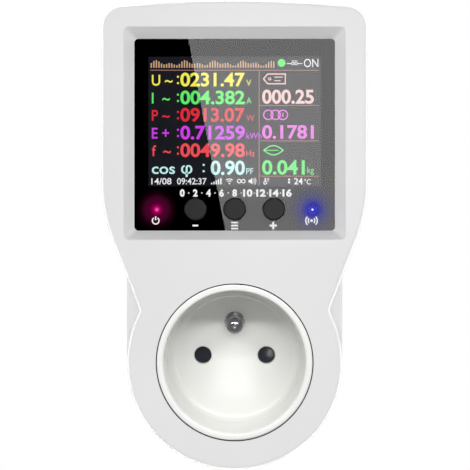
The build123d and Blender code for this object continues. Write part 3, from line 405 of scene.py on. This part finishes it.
def plain_glow(name, strength, clear=False):
    """Light of one strength, on something that may also let light through."""
    material = bpy.data.materials.new(name)
    material.use_nodes = True
    tree = material.node_tree
    tree.nodes.clear()
    glow = add_node(tree, "ShaderNodeEmission", {"Color": WHITE, "Strength": strength})
    out = add_node(tree, "ShaderNodeOutputMaterial")
    surface = glow.outputs["Emission"]
    if clear:
        both = add_node(tree, "ShaderNodeAddShader")
        passing = add_node(tree, "ShaderNodeBsdfTransparent")
        tree.links.new(surface, both.inputs[0])
        tree.links.new(passing.outputs["BSDF"], both.inputs[1])
        surface = both.outputs["Shader"]
    tree.links.new(surface, out.inputs["Surface"])
    return material


def mesh_object(name, points, faces, material):
    """A mesh object in the object's own frame."""
    mesh = bpy.data.meshes.new(name)
    mesh.from_pydata([tuple(point) for point in points], [], faces)
    mesh.validate()
    mesh.materials.append(material)
    made = bpy.data.objects.new(name, mesh)
    bpy.context.scene.collection.objects.link(made)
    return made


class Marks:
    """Flat marks in millimetres, right and up from an origin, on a plane facing the front."""

    def __init__(self, left, top, depth):
        self.left, self.top, self.depth = left, top, depth
        self.points, self.faces = [], []

    def add(self, points, faces):
        """Points in millimetres, and faces that count from the first of them."""
        start = len(self.points)
        for across, up in points:
            self.points.append((self.left + across * MM, self.depth, self.top + up * MM))
        self.faces += [[start + corner for corner in face] for face in faces]

    def bar(self, left, low, right, high):
        """A filled rectangle."""
        self.add([(left, low), (right, low), (right, high), (left, high)], [[0, 1, 2, 3]])

    def disc(self, across, up, radius, count=28):
        """A filled circle."""
        self.add(ring_points(across, up, radius, count), [list(range(count))])

    def stroke(self, points, width, closed=False):
        """A line of one width with mitred corners."""
        count = len(points)
        edges, quads = [], []
        for index, point in enumerate(points):
            before = points[index - 1] if index or closed else point
            after = points[(index + 1) % count] if index < count - 1 or closed else point
            edges += mitre(Vector(before), Vector(point), Vector(after), width / 2)
        for index in range(count if closed else count - 1):
            here, ahead = 2 * index, 2 * ((index + 1) % count)
            quads.append((here, here + 1, ahead + 1, ahead))
        self.add(edges, quads)

    def ring(self, across, up, radius, width, count=32):
        """A line along a whole circle."""
        self.stroke(ring_points(across, up, radius, count), width, closed=True)

    def arc(self, across, up, radius, start, end, width, count=12):
        """A line along a circle, from one angle in degrees to another."""
        turns = [math.radians(start + (end - start) * i / count) for i in range(count + 1)]
        points = [(across + radius * math.cos(t), up + radius * math.sin(t)) for t in turns]
        self.stroke(points, width)

    def letters(self, text, left, base, cap, right=None, bold=0.0):
        """Plain figures or symbols on a base line, stretched to end at right if that is given."""
        points, faces = glyphs(text, bold)
        low = min(x for x, _ in points)
        high = max(x for x, _ in points)
        tall = cap / CAP_HEIGHT
        wide = tall * LETTER_WIDTH if right is None else (right - left) / (high - low)
        self.add([(left + (x - low) * wide, base + y * tall) for x, y in points], faces)
        return left + (high - low) * wide

    def make(self, name, material, slot):
        """One piece of the scene from all the marks, which rides on the meter itself."""
        made = mesh_object(name, self.points, self.faces, material)
        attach(made, "root")
        return made


def ring_points(across, up, radius, count):
    """Points evenly round a circle."""
    turns = [2 * math.pi * i / count for i in range(count)]
    return [(across + radius * math.cos(t), up + radius * math.sin(t)) for t in turns]


def mitre(before, point, after, half):
    """The two edge points of a stroke at one of its points."""
    along = [step.normalized() for step in (point - before, after - point) if step.length > 1e-9]
    sides = [Vector((-step.y, step.x)) for step in along]
    middle = sum(sides, Vector((0.0, 0.0))).normalized()
    reach = half / max(middle.dot(sides[0]), MITRE_LIMIT)
    return [tuple(point + middle * reach), tuple(point - middle * reach)]


def glyphs(text, bold):
    """Outline of plain lettering at size one, as flat points and faces."""
    curve = bpy.data.curves.new("letters", "FONT")
    curve.body = text
    curve.offset = bold
    curve.resolution_u = LETTER_STEPS
    holder = bpy.data.objects.new("letters", curve)
    mesh = bpy.data.meshes.new_from_object(holder)
    points = [(vertex.co.x, vertex.co.y) for vertex in mesh.vertices]
    faces = [list(face.vertices) for face in mesh.polygons]
    bpy.data.objects.remove(holder)
    bpy.data.curves.remove(curve)
    bpy.data.meshes.remove(mesh)
    return points, faces


CAP_HEIGHT = max(y for _, y in glyphs("H", 0.0)[0])

# Each lamp's light: how far its glow, painted on the mask, reaches, and its colours at shares of
# that reach
LAMPS = {
    "power_lamp": (
        6.0 * MM,
        [
            (0.0, (1.0, 0.24, 0.52, 1.0)),
            (0.05, (0.85, 0.08, 0.34, 1.0)),
            (0.09, (0.66, 0.01, 0.20, 1.0)),
            (0.18, (0.27, 0.0, 0.070, 1.0)),
            (0.32, (0.080, 0.0, 0.024, 1.0)),
            (0.55, (0.042, 0.002, 0.015, 1.0)),
            (0.78, (0.008, 0.0, 0.003, 1.0)),
            (1.0, (0.0, 0.0, 0.0, 1.0)),
        ],
    ),
    "link_lamp": (
        7.5 * MM,
        [
            (0.0, (1.0, 1.0, 1.0, 1.0)),
            (0.034, (1.0, 1.0, 1.0, 1.0)),
            (0.044, (0.01, 0.01, 0.75, 1.0)),
            (0.114, (0.0, 0.0, 0.50, 1.0)),
            (0.19, (0.0, 0.0, 0.39, 1.0)),
            (0.265, (0.0, 0.0, 0.305, 1.0)),
            (0.34, (0.0, 0.0, 0.23, 1.0)),
            (0.455, (0.0, 0.0, 0.145, 1.0)),
            (0.57, (0.0, 0.0, 0.087, 1.0)),
            (0.68, (0.0, 0.0, 0.05, 1.0)),
            (0.85, (0.0, 0.0, 0.018, 1.0)),
            (1.0, (0.0, 0.0, 0.0, 1.0)),
        ],
    ),
}


def lamp_middle(node):
    """A lamp's axis, as its place across and up."""
    low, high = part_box(node)
    return (low[0] + high[0]) / 2, (low[2] + high[2]) / 2


def lamp_glow(tree, node):
    """A lamp's light at each place, on the lamp and, as a painted glow, on what is round it."""
    reach, stops = LAMPS[node]
    return fade(tree, lamp_middle(node), reach, stops)


def lamp_body(name, node):
    """One lamp, lit."""
    material, tree, shader = blank_material(name)
    tree.links.new(lamp_glow(tree, node), shader.inputs["Emission Color"])
    shader.inputs["Emission Strength"].default_value = 1.0
    shader.inputs["Base Color"].default_value = BLACK
    shader.inputs["Roughness"].default_value = 0.3
    shader.inputs["Specular IOR Level"].default_value = 0.0
    return material


def mask_print_and_painted_glow(name):
    """Black print behind the lens, with the glow of both lamps painted on it as light of its own.
    """
    material = moulded(name, (0.002, 0.002, 0.002), roughness=0.6, mottle=0.2)
    tree = material.node_tree
    shader = tree.nodes["Principled BSDF"]
    both = add_node(tree, "ShaderNodeVectorMath", operation="ADD")
    for index, node in enumerate(LAMPS):
        tree.links.new(lamp_glow(tree, node), both.inputs[index])
    tree.links.new(both.outputs["Vector"], shader.inputs["Emission Color"])
    shader.inputs["Emission Strength"].default_value = 1.0
    return material


# Colours of the finishes, and how deep the ring's whiter tone reaches and then fades
WHITE_PLASTIC = (0.80, 0.80, 0.80)
RING_WHITE = (0.96, 0.96, 0.94)
CUP_WHITE = (0.835, 0.84, 0.81)
STEEL = (0.62, 0.62, 0.63)
# Nickel darkened far below bare nickel, so that the pins' reflections read dark: painted shade
DARKENED_NICKEL = (0.27, 0.27, 0.29)
BRASS = (0.78, 0.60, 0.30)
RING_DEPTH = 1.0 * MM
RING_FADE = 2.0 * MM


def cup_plastic(name):
    """Socket plastic, whiter on the ring than deep inside."""
    material = moulded(name, CUP_WHITE, roughness=0.11, depth=0.0004)
    tree = material.node_tree
    parts = add_node(tree, "ShaderNodeSeparateXYZ")
    tree.links.new(object_place(tree), parts.inputs["Vector"])
    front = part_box("socket_cup")[0][1]
    limits = {"From Min": front + RING_DEPTH, "From Max": front + RING_DEPTH + RING_FADE}
    share = add_node(tree, "ShaderNodeMapRange", limits)
    tree.links.new(parts.outputs["Y"], share.inputs["Value"])
    stops = [(0.0, shade(RING_WHITE, 1.0)), (1.0, shade(CUP_WHITE, 1.0))]
    colour = ramp(tree, share.outputs["Result"], stops)
    tree.links.new(colour, tree.nodes["Principled BSDF"].inputs["Base Color"])
    return material


# Finishes of the modelled parts, by material slot
finishes = {
    "front_cover": moulded("cover_finish", WHITE_PLASTIC, roughness=0.34),
    # The rear cover's white is a little lighter than the front cover's: painted light on its
    # shelf at the waist, which the front cover shades
    "rear_cover": moulded("rear_finish_lightened", (0.86, 0.86, 0.86), roughness=0.42, depth=0.006),
    "plug_body": moulded("plug_finish", WHITE_PLASTIC, roughness=0.40),
    "socket_cup": cup_plastic("cup_finish"),
    "display_lens": clear_plastic("lens_finish"),
    "lens_mask": mask_print_and_painted_glow("mask_finish_painted_glow"),
    "lcd": moulded("lcd_finish", (0.012, 0.013, 0.016), roughness=0.22, mottle=0.2),
    "holder": moulded("holder_finish", (0.03, 0.03, 0.03), roughness=0.5),
    "button": moulded("button_finish", (0.006, 0.006, 0.0065), 0.42, depth=0.004, sheen=0.42),
    "plunger": moulded("plunger_finish", (0.02, 0.02, 0.02), roughness=0.45),
    "switch": metal("switch_finish", STEEL, roughness=0.3),
    "red_lamp": lamp_body("red_lamp_finish", "power_lamp"),
    "blue_lamp": lamp_body("blue_lamp_finish", "link_lamp"),
    "board": laminate("board_finish", (0.012, 0.10, 0.045, 1.0), (0.05, 0.20, 0.09, 1.0)),
    "chip": moulded("chip_finish", (0.015, 0.015, 0.016), roughness=0.5),
    "shield": metal("shield_finish", STEEL, roughness=0.32),
    "relay": moulded("relay_finish", (0.02, 0.07, 0.28), roughness=0.35),
    "transformer": banded(
        "transformer_finish", (0.62, 0.46, 0.05), (0.72, 0.56, 0.09), 1.6 * MM, "Z"
    ),
    "film_capacitor": moulded("film_finish", (0.62, 0.40, 0.03), roughness=0.3),
    "can_capacitor": banded("can_finish", (0.02, 0.02, 0.03), (0.35, 0.36, 0.40), 9 * MM, "X"),
    "fuse": moulded("fuse_finish", (0.50, 0.45, 0.36), roughness=0.35),
    "varistor": moulded("varistor_finish", (0.02, 0.09, 0.30), roughness=0.3),
    "shunt": metal("shunt_finish", (0.72, 0.43, 0.30), roughness=0.35),
    "terminal": metal("terminal_finish", STEEL, roughness=0.28),
    "connector": moulded("connector_finish", (0.72, 0.70, 0.64), roughness=0.4),
    "ribbon": banded("ribbon_finish", (0.55, 0.56, 0.58), (0.40, 0.41, 0.43), 1.2 * MM, "X"),
    "live_wire": moulded("live_finish", (0.16, 0.06, 0.025), roughness=0.42),
    "neutral_wire": moulded("neutral_finish", (0.02, 0.07, 0.32), roughness=0.42),
    "pin": metal("pin_finish", DARKENED_NICKEL, roughness=0.10),
    "contact": metal("contact_finish", BRASS, roughness=0.25),
    "shutter": moulded("shutter_finish", (0.013, 0.016, 0.028), roughness=0.06, depth=0.0002),
    "carrier": moulded("carrier_finish", (0.10, 0.10, 0.11), roughness=0.5),
    "spring": metal("spring_finish", STEEL, roughness=0.22),
    "screw": metal("screw_finish", STEEL, roughness=0.3, along=(1.0, 1.0, 0.1)),
}

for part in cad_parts.values():
    for slot in part.material_slots:
        slot.material = finishes[slot.material.name]

# Light of the screen's marks, and the print on the lens
YELLOW = lit("yellow_light", (1.0, 0.93, 0.10), 0.95)
GREEN = lit("green_light", (0.14, 0.95, 0.17), 0.92)
RED = lit("red_light", (0.80, 0.03, 0.05), 0.95)
MAGENTA = lit("magenta_light", (0.68, 0.06, 0.88), 0.95)
CORAL = lit("coral_light", (0.95, 0.085, 0.10), 0.95)
CYAN = lit("cyan_light", (0.62, 1.0, 0.98), 0.92)
ROSE = lit("rose_light", (1.0, 0.68, 0.66), 0.90)
ORCHID = lit("orchid_light", (0.85, 0.20, 0.80), 0.92)
LEAF = lit("leaf_light", (0.16, 0.90, 0.20), 0.90)
SNOW = lit("snow_light", (0.96, 0.97, 1.0), 0.90)
TAN = lit("tan_light", (0.80, 0.50, 0.30), 0.75)
PINK = lit("pink_light", (0.80, 0.36, 0.30), 0.50)
PRINT = moulded("print_finish", (0.90, 0.90, 0.90), roughness=0.5, grain=0.12, depth=0.001)

lcd_low, lcd_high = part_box("lcd_module")
picture_left = (lcd_low[0] + lcd_high[0]) / 2 - VIEW_WIDTH / 2 * MM
picture_top = (lcd_low[2] + lcd_high[2]) / 2 + VIEW_HEIGHT / 2 * MM
picture_depth = lcd_low[1] + POCKET


def on_screen():
    """Empty marks on the picture, measured right and up from its top left corner."""
    return Marks(picture_left, picture_top, picture_depth - MARK_LIFT)


def backlight():
    """The picture's dark ground, which the light behind it never quite leaves black."""
    material, tree, shader = blank_material("backlight")
    broad = noise(tree, object_place(tree), GROUND_DRIFT_PERIOD)
    dim, bright = (0.0085, 0.009, 0.012, 1.0), (0.0125, 0.0135, 0.018, 1.0)
    stops = [(NOISE_LOW, dim), (NOISE_HIGH, bright)]
    tree.links.new(ramp(tree, broad, stops), shader.inputs["Emission Color"])
    shader.inputs["Emission Strength"].default_value = 1.0
    shader.inputs["Base Color"].default_value = (0.003, 0.003, 0.004, 1.0)
    shader.inputs["Roughness"].default_value = 0.08
    shader.inputs["Specular IOR Level"].default_value = 0.0
    ground = Marks(picture_left, picture_top, picture_depth - MARK_LIFT / 2)
    ground.bar(0.0, -VIEW_HEIGHT, VIEW_WIDTH, 0.0)
    ground.make("screen_ground", material, "lcd")


def rules():
    """Thin lines between the screen's fields."""
    marks = on_screen()
    half = RULE_WIDTH / 2
    marks.bar(0.5, -HEADER_RULE - half, RIGHT_MARGIN, -HEADER_RULE + half)
    marks.bar(COLUMN_RULE - half, -VIEW_HEIGHT + 0.2, COLUMN_RULE + half, -HEADER_RULE)
    for rule in RIGHT_RULES:
        marks.bar(COLUMN_RULE, -rule - half, RIGHT_MARGIN, -rule + half)
    marks.make("screen_rules", PINK, "lcd")


def header():
    """Top field: a strip of past readings, a lit dot, a closed switch and its state."""
    strip = on_screen()
    for index in range(HISTORY_BARS):
        left = HISTORY_LEFT + index * HISTORY_PITCH
        beat = math.sin(index * HISTORY_BEAT + HISTORY_PHASE)
        swing = math.sin(index * HISTORY_WAVE) * beat
        top = HISTORY_BASE + HISTORY_MEAN + HISTORY_SWING * swing
        strip.bar(left, HISTORY_BASE, left + HISTORY_BAR, top)
    strip.make("screen_history", TAN, "lcd")
    dot = on_screen()
    dot.disc(38.3, -1.75, 1.15)
    dot.make("screen_state_dot", LEAF, "lcd")
    switch = on_screen()
    switch.bar(39.8, -2.05, 41.1, -1.83)
    switch.bar(42.9, -2.05, 44.3, -1.83)
    switch.ring(41.55, -1.94, 0.36, 0.2, count=16)
    switch.ring(42.5, -1.94, 0.36, 0.2, count=16)
    switch.bar(41.2, -1.28, 42.9, -1.08)
    switch.letters("ON", 44.75, -2.95, 2.35, right=48.9)
    switch.make("screen_switch_state", SNOW, "lcd")


def colon(marks, across, base, cap):
    """Two square dots after a label."""
    for up in (0.12, 0.62):
        low = base + cap * up
        marks.bar(across, low, across + COLON_DOT, low + COLON_DOT)


def reading(name, symbol, figures, unit, light, top):
    """One line of the left field: a quantity's symbol, its figures and its unit."""
    marks = on_screen()
    base = -top - READING_CAP
    marks.letters(symbol, LABEL_LEFT, base + 0.15, LABEL_CAP, bold=HALF_BOLD)
    colon(marks, COLON_AT, base + 0.1, READING_CAP)
    marks.letters(figures, READING_LEFT, base, READING_CAP, right=READING_RIGHT, bold=BOLD)
    marks.letters(unit, UNIT_LEFT, base + 0.05, UNIT_CAP)
    marks.make(name, light, "lcd")


def left_field():
    """The six readings, one below the other."""
    reading("reading_voltage", "U ~", "0231.47", "V", YELLOW, 4.72)
    reading("reading_current", "I  ~", "004.382", "A", GREEN, 9.88)
    reading("reading_power", "P ~", "0913.07", "W", RED, 14.85)
    reading("reading_energy", "E +", "0.71259", "kWh", MAGENTA, 19.98)
    reading("reading_frequency", "f  ~", "0049.98", "Hz", CORAL, 25.05)
    marks = on_screen()
    base = -30.1 - READING_CAP - 0.1
    marks.letters("cos φ", LABEL_LEFT, base + 0.2, LABEL_CAP, right=12.6, bold=HALF_BOLD)
    colon(marks, FACTOR_COLON_AT, base + 0.2, READING_CAP)
    cap = READING_CAP + 0.15
    marks.letters("0.90", FACTOR_LEFT, base, cap, right=READING_RIGHT, bold=BOLD)
    marks.letters("PF", UNIT_LEFT, base + 0.05, UNIT_CAP)
    marks.make("reading_factor", CYAN, "lcd")


def status_line():
    """Bottom field: date, time, signal bars, link and sounder signs, and the temperature."""
    marks = on_screen()
    marks.letters("14/08", 0.8, -STATUS_BASE, STATUS_CAP, right=6.6, bold=HALF_BOLD)
    marks.letters("09:42:37", 8.2, -STATUS_BASE, STATUS_CAP, right=16.7, bold=HALF_BOLD)
    for step in range(5):
        left = 18.0 + step * 0.66
        marks.bar(left, -STATUS_BASE, left + 0.38, -STATUS_BASE + 0.45 + step * 0.33)
    marks.disc(23.3, -STATUS_BASE + 0.25, 0.22, count=12)
    for radius in (0.75, 1.3):
        marks.arc(23.3, -STATUS_BASE + 0.25, radius, 45, 135, 0.26)
    marks.ring(26.1, -STATUS_BASE + 0.9, 0.52, 0.24, count=16)
    marks.ring(27.3, -STATUS_BASE + 0.9, 0.52, 0.24, count=16)
    box = [(29.3, -35.4), (28.8, -35.4), (28.8, -36.2), (29.3, -36.2)]
    cone = [(29.9, -36.75), (29.9, -34.85)]
    marks.add(box + cone, [[0, 1, 2, 3, 4, 5]])
    marks.arc(29.7, -35.8, 0.75, -50, 50, 0.2)
    marks.arc(29.7, -35.8, 1.25, -50, 50, 0.2)
    marks.ring(33.6, -36.25, 0.42, 0.24, count=16)
    marks.bar(33.42, -35.95, 33.78, -34.9)
    for step in range(3):
        marks.bar(34.1, -35.8 + step * 0.36, 34.75, -35.66 + step * 0.36)
    colon(marks, 40.2, -STATUS_BASE + 0.1, 1.6)
    end = marks.letters("24", 41.9, -STATUS_BASE, STATUS_CAP, right=44.4, bold=HALF_BOLD)
    marks.letters("°C", end + 0.4, -STATUS_BASE, STATUS_CAP - 0.3)
    marks.make("screen_status", SNOW, "lcd")


def price_field():
    """Right field, top: a tag and the price of one unit."""
    marks = on_screen()
    tag = [(33.1, -6.35), (34.3, -4.95), (39.4, -4.95), (39.4, -7.75), (34.3, -7.75)]
    marks.stroke(tag, 0.34, closed=True)
    marks.ring(34.9, -6.35, 0.34, 0.22, count=16)
    marks.bar(36.2, -5.95, 38.6, -5.7)
    marks.bar(36.2, -7.0, 38.0, -6.75)
    marks.letters("000.25", RIGHT_LEFT, -13.35, READING_CAP + 0.1, right=47.6, bold=BOLD)
    marks.make("screen_price", ROSE, "lcd")


def cost_field():
    """Right field, middle: coins and the cost so far."""
    marks = on_screen()
    for step in range(3):
        marks.ring(34.5 + step * 2.1, -16.7, 1.35, 0.34)
    marks.bar(38.55, -17.35, 38.85, -16.05)
    marks.letters("0.1781", RIGHT_LEFT, -23.45, READING_CAP, right=47.6, bold=BOLD)
    marks.make("screen_cost", ORCHID, "lcd")


def carbon_field():
    """Right field, bottom: a leaf and the mass of gas given off."""
    marks = on_screen()
    bow = [(33.2 + step * 0.62, 1.35 * math.sin(math.pi * step / 9)) for step in range(10)]
    upper = [(across, -26.9 + rise) for across, rise in bow]
    lower = [(across, -26.9 - rise) for across, rise in reversed(bow[1:-1])]
    marks.stroke(upper + lower, 0.34, closed=True)
    marks.stroke([(33.2, -26.9), (37.4, -26.9)], 0.24)
    marks.letters("0.041", RIGHT_LEFT, -33.75, READING_CAP + 0.2, right=45.0, bold=BOLD)
    marks.letters("kg", 45.7, -33.45, UNIT_CAP)
    marks.make("screen_carbon", LEAF, "lcd")


lens_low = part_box("display_lens")[0]


def lens_print():
    """White print on the lens: key signs, lamp signs and a plain number scale."""
    print_depth = lens_low[1] - PRINT_LIFT
    marks = Marks(0.0, 0.0, print_depth)
    minus, plus, up = -KEY_SPACING, KEY_SPACING, LEGEND_HEIGHT
    marks.bar(minus - 0.85, up - 0.25, minus + 0.75, up + 0.25)
    for line in (up - 0.85, up, up + 0.85):
        marks.bar(-1.0, line - 0.23, 1.0, line + 0.23)
    marks.bar(plus - 1.2, up - 0.3, plus + 0.9, up + 0.3)
    marks.bar(plus - 0.45, up + 0.3, plus + 0.15, up + 1.05)
    marks.bar(plus - 0.45, up - 1.05, plus + 0.15, up - 0.3)
    marks.make("key_signs", PRINT, "display_lens")
    power = Marks(0.0, 0.0, print_depth)
    across, up = POWER_SIGN_AT
    power.arc(across, up, 0.95, 125, 415, 0.36, count=28)
    power.bar(across - 0.18, up + 0.15, across + 0.18, up + 1.25)
    power.make("power_sign", PRINT, "display_lens")
    link = Marks(0.0, 0.0, print_depth)
    across, up = LINK_SIGN_AT
    link.disc(across, up, 0.42, count=16)
    for radius in (0.95, 1.65):
        for middle in (0, 180):
            link.arc(across, up, radius, middle - 45, middle + 45, 0.36)
    link.make("link_sign", PRINT, "display_lens")
    scale = Marks(0.0, 0.0, print_depth)
    pitch = 2 * SCALE_REACH / (len(SCALE_NUMBERS) - 1)
    for index, number in enumerate(SCALE_NUMBERS):
        middle = -SCALE_REACH + index * pitch
        half = SCALE_FIGURE_HALF * len(number)
        left, right = middle - half, middle + half
        scale.letters(number, left, SCALE_BASE, SCALE_CAP, right=right, bold=EXTRA_BOLD)
        if index:
            scale.disc(middle - pitch / 2, SCALE_BASE + SCALE_CAP / 2, 0.2, count=12)
    scale.make("load_scale", PRINT, "display_lens")


def gap_shade_ring():
    """Dark ring that lies in the gap between the socket and the cover: painted shade for the
    shadow deep in the gap.
    """
    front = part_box("front_cover")[0][1]
    section = (
        (GAP_SHADE_LIP, GAP_SHADE_DROP),
        (GAP_SHADE_OUTER, GAP_SHADE_DROP),
        (GAP_SHADE_OUTER, GAP_SHADE_DEPTH),
        (GAP_SHADE_INNER, GAP_SHADE_DEPTH),
        (GAP_SHADE_INNER, GAP_SHADE_WAIST),
    )
    points, faces = [], []
    for radius, drop in section:
        around = ring_points(0.0, 0.0, radius, GAP_SHADE_TURNS)
        points += [(across, front + drop, up) for across, up in around]
    for side in range(len(section)):
        here, beside = side * GAP_SHADE_TURNS, (side + 1) % len(section) * GAP_SHADE_TURNS
        for turn in range(GAP_SHADE_TURNS):
            ahead = (turn + 1) % GAP_SHADE_TURNS
            faces.append((here + turn, here + ahead, beside + ahead, beside + turn))
    # Near-black finish of the ring: painted shade, not a real part's colour
    shade_dark = moulded("gap_shade_finish", (0.006, 0.006, 0.006), roughness=0.7, mottle=0.2)
    made = mesh_object("gap_shade_ring", points, faces, shade_dark)
    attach(made, "root")


backlight()
rules()
header()
left_field()
status_line()
price_field()
cost_field()
carbon_field()
lens_print()
gap_shade_ring()


def seen_only_by(made, camera=False, glossy=False, through=False):
    """A stage piece that shows straight on, mirrored or through the lens, and lights nothing."""
    made.visible_camera = camera
    made.visible_glossy = glossy
    made.visible_diffuse = False
    made.visible_transmission = through
    made.visible_shadow = False
    made.visible_volume_scatter = False


def surround():
    """White room and pale floor."""
    white = plain_glow("room_white", 1.0)
    turns = SURROUND_TURNS
    points, faces = [], []
    for ring in range(SURROUND_RINGS + 1):
        tilt = math.pi * ring / SURROUND_RINGS
        radius, height = SURROUND_RADIUS * math.sin(tilt), SURROUND_RADIUS * math.cos(tilt)
        points += [(x, y, height) for x, y in ring_points(0.0, 0.0, radius, turns)]
    for ring in range(SURROUND_RINGS):
        for turn in range(turns):
            here, beside = ring * turns + turn, ring * turns + (turn + 1) % turns
            faces.append((here, beside, beside + turns, here + turns))
    seen_only_by(mesh_object("room", points, faces, white), camera=True, through=True)
    height = cad_box[0][2] - FLOOR_DROP
    signs = ((-1, -1), (1, -1), (1, 1), (-1, 1))
    corners = [(x * FLOOR_HALF, y * FLOOR_HALF, height) for x, y in signs]
    seen_only_by(mesh_object("floor", corners, [(0, 1, 2, 3)], white), camera=True, through=True)


def reflected_place(spot, depth):
    """The place on the card plane that shows at a spot of a face at some depth."""
    centre = Vector((CAMERA_PLACE[0], CAMERA_PLACE[2]))
    to_card = depth - (lens_low[1] - CARD_AHEAD)
    return centre + (Vector(spot) - centre) * (1 + to_card / (depth - CAMERA_PLACE[1]))


def card(name, outline, strength):
    """A flat card that shows only as a reflection, and a dark one through the lens as well."""
    points = [(spot[0], lens_low[1] - CARD_AHEAD, spot[1]) for spot in outline]
    light = plain_glow(name + "_light", strength)
    made = mesh_object(name, points, [tuple(range(len(points)))], light)
    seen_only_by(made, glossy=True, through=not strength)
    return made


def dip(made, node):
    """Dim a card softly where a lamp's surroundings mirror it."""
    tree = made.data.materials[0].node_tree
    spot = reflected_place(lamp_middle(node), lens_low[1])
    colour = fade(tree, spot, DIP_REACH, DIP_STOPS)
    tree.links.new(colour, tree.nodes["Emission"].inputs["Color"])


def hoop():
    """A bright band round the object, which the front cover alone mirrors."""
    count = HOOP_TURNS
    points = []
    for behind in HOOP_BEHIND:
        for across, up in ring_points(0.0, CAMERA_PLACE[2], HOOP_RADIUS, count):
            points.append((across, lens_low[1] + behind, up))
    faces = [(i, (i + 1) % count, count + (i + 1) % count, count + i) for i in range(count)]
    made = mesh_object("hoop", points, faces, plain_glow("hoop_light", HOOP_GLOW, clear=True))
    seen_only_by(made, glossy=True)
    link_light(made, ("front_cover",), "INCLUDE")


def cards():
    """Bright and dark cards in front of the lens and of the socket."""
    top, foot = (reflected_place(spot, lens_low[1]) for spot in (EDGE_TOP, EDGE_FOOT))
    along = top - foot
    high = top + along * (CARD_TOP - top.y) / along.y
    low = foot - along * CARD_FOOT_SPARE
    right = [(CARD_REACH, high.y), (CARD_REACH, low.y)]
    left = [(-CARD_REACH, low.y), (-CARD_REACH, high.y)]
    dip(card("bright_card", [high, *right, low], CARD_GLOW), "link_lamp")
    card("dark_card", [high, low, *left], 0.0)
    shutter_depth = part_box("shutter")[0][1]
    for name, corner, opposite, depth, strength in (
        ("strip_card", STRIP_LOW, STRIP_HIGH, shutter_depth, STRIP_GLOW),
        ("glint_card", GLINT_LOW, GLINT_HIGH, shutter_depth, GLINT_GLOW),
    ):
        low, high = reflected_place(corner, depth), reflected_place(opposite, depth)
        card(name, [low, (high.x, low.y), high, (low.x, high.y)], strength)


def softbox(name, azimuth, elevation, distance, width, height, share):
    """A soft light aimed at the object, from an angle to the right and upward of its front."""
    light = bpy.data.lights.new(name, "AREA")
    light.shape = "RECTANGLE"
    light.size, light.size_y = width, height
    # A white surface is full white under an irradiance of pi
    light.energy = math.pi * (share * math.pi) * distance ** 2
    made = bpy.data.objects.new(name, light)
    swing, rise = math.radians(azimuth), math.radians(elevation)
    level = math.cos(rise)
    away = Vector((math.sin(swing) * level, -math.cos(swing) * level, math.sin(rise)))
    target = Vector((0.0, 0.0, CAMERA_PLACE[2]))
    made.location = target + away * distance
    made.rotation_euler = away.to_track_quat("Z", "Y").to_euler()
    bpy.context.scene.collection.objects.link(made)
    return made


def link_light(light, nodes, state):
    """Let a light fall on some parts alone, or keep it off them."""
    parts = bpy.data.collections.new(light.name + "_parts")
    for node in nodes:
        parts.objects.link(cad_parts[node])
    for entry in parts.collection_objects:
        entry.light_linking.link_state = state
    light.light_linking.receiver_collection = parts


def studio():
    """Soft light from all round, with a box of its own for the socket, and a plain transform."""
    boxes = {name: softbox(name, *settings) for name, settings in BOXES.items()}
    front_box = boxes["front_box"]
    front_box.visible_glossy = front_box.visible_transmission = False
    for name in ("top_box", "front_box", "low_box", "left_box", "right_box"):
        link_light(boxes[name], SOCKET_PARTS, "EXCLUDE")
    link_light(boxes["socket_box"], SOCKET_PARTS, "INCLUDE")
    world = bpy.data.worlds.new("studio")
    world.use_nodes = True
    sky = world.node_tree.nodes["Background"]
    sky.inputs["Color"].default_value = WHITE
    sky.inputs["Strength"].default_value = SKY_SHARE
    scene = bpy.context.scene
    scene.world = world
    scene.view_settings.view_transform = "Standard"
    scene.view_settings.look = "None"
    scene.view_settings.exposure = 0.0
    scene.view_settings.gamma = 1.0


def camera():
    """The photograph's camera."""
    lens = bpy.data.cameras.new("camera")
    lens.lens = CAMERA_LENS
    lens.sensor_width = CAMERA_SENSOR
    made = bpy.data.objects.new("camera", lens)
    made.matrix_world = Matrix.Translation(CAMERA_PLACE) @ Matrix.Rotation(math.pi / 2, 4, "X")
    bpy.context.scene.collection.objects.link(made)
    bpy.context.scene.camera = made


surround()
cards()
hoop()
studio()
camera()
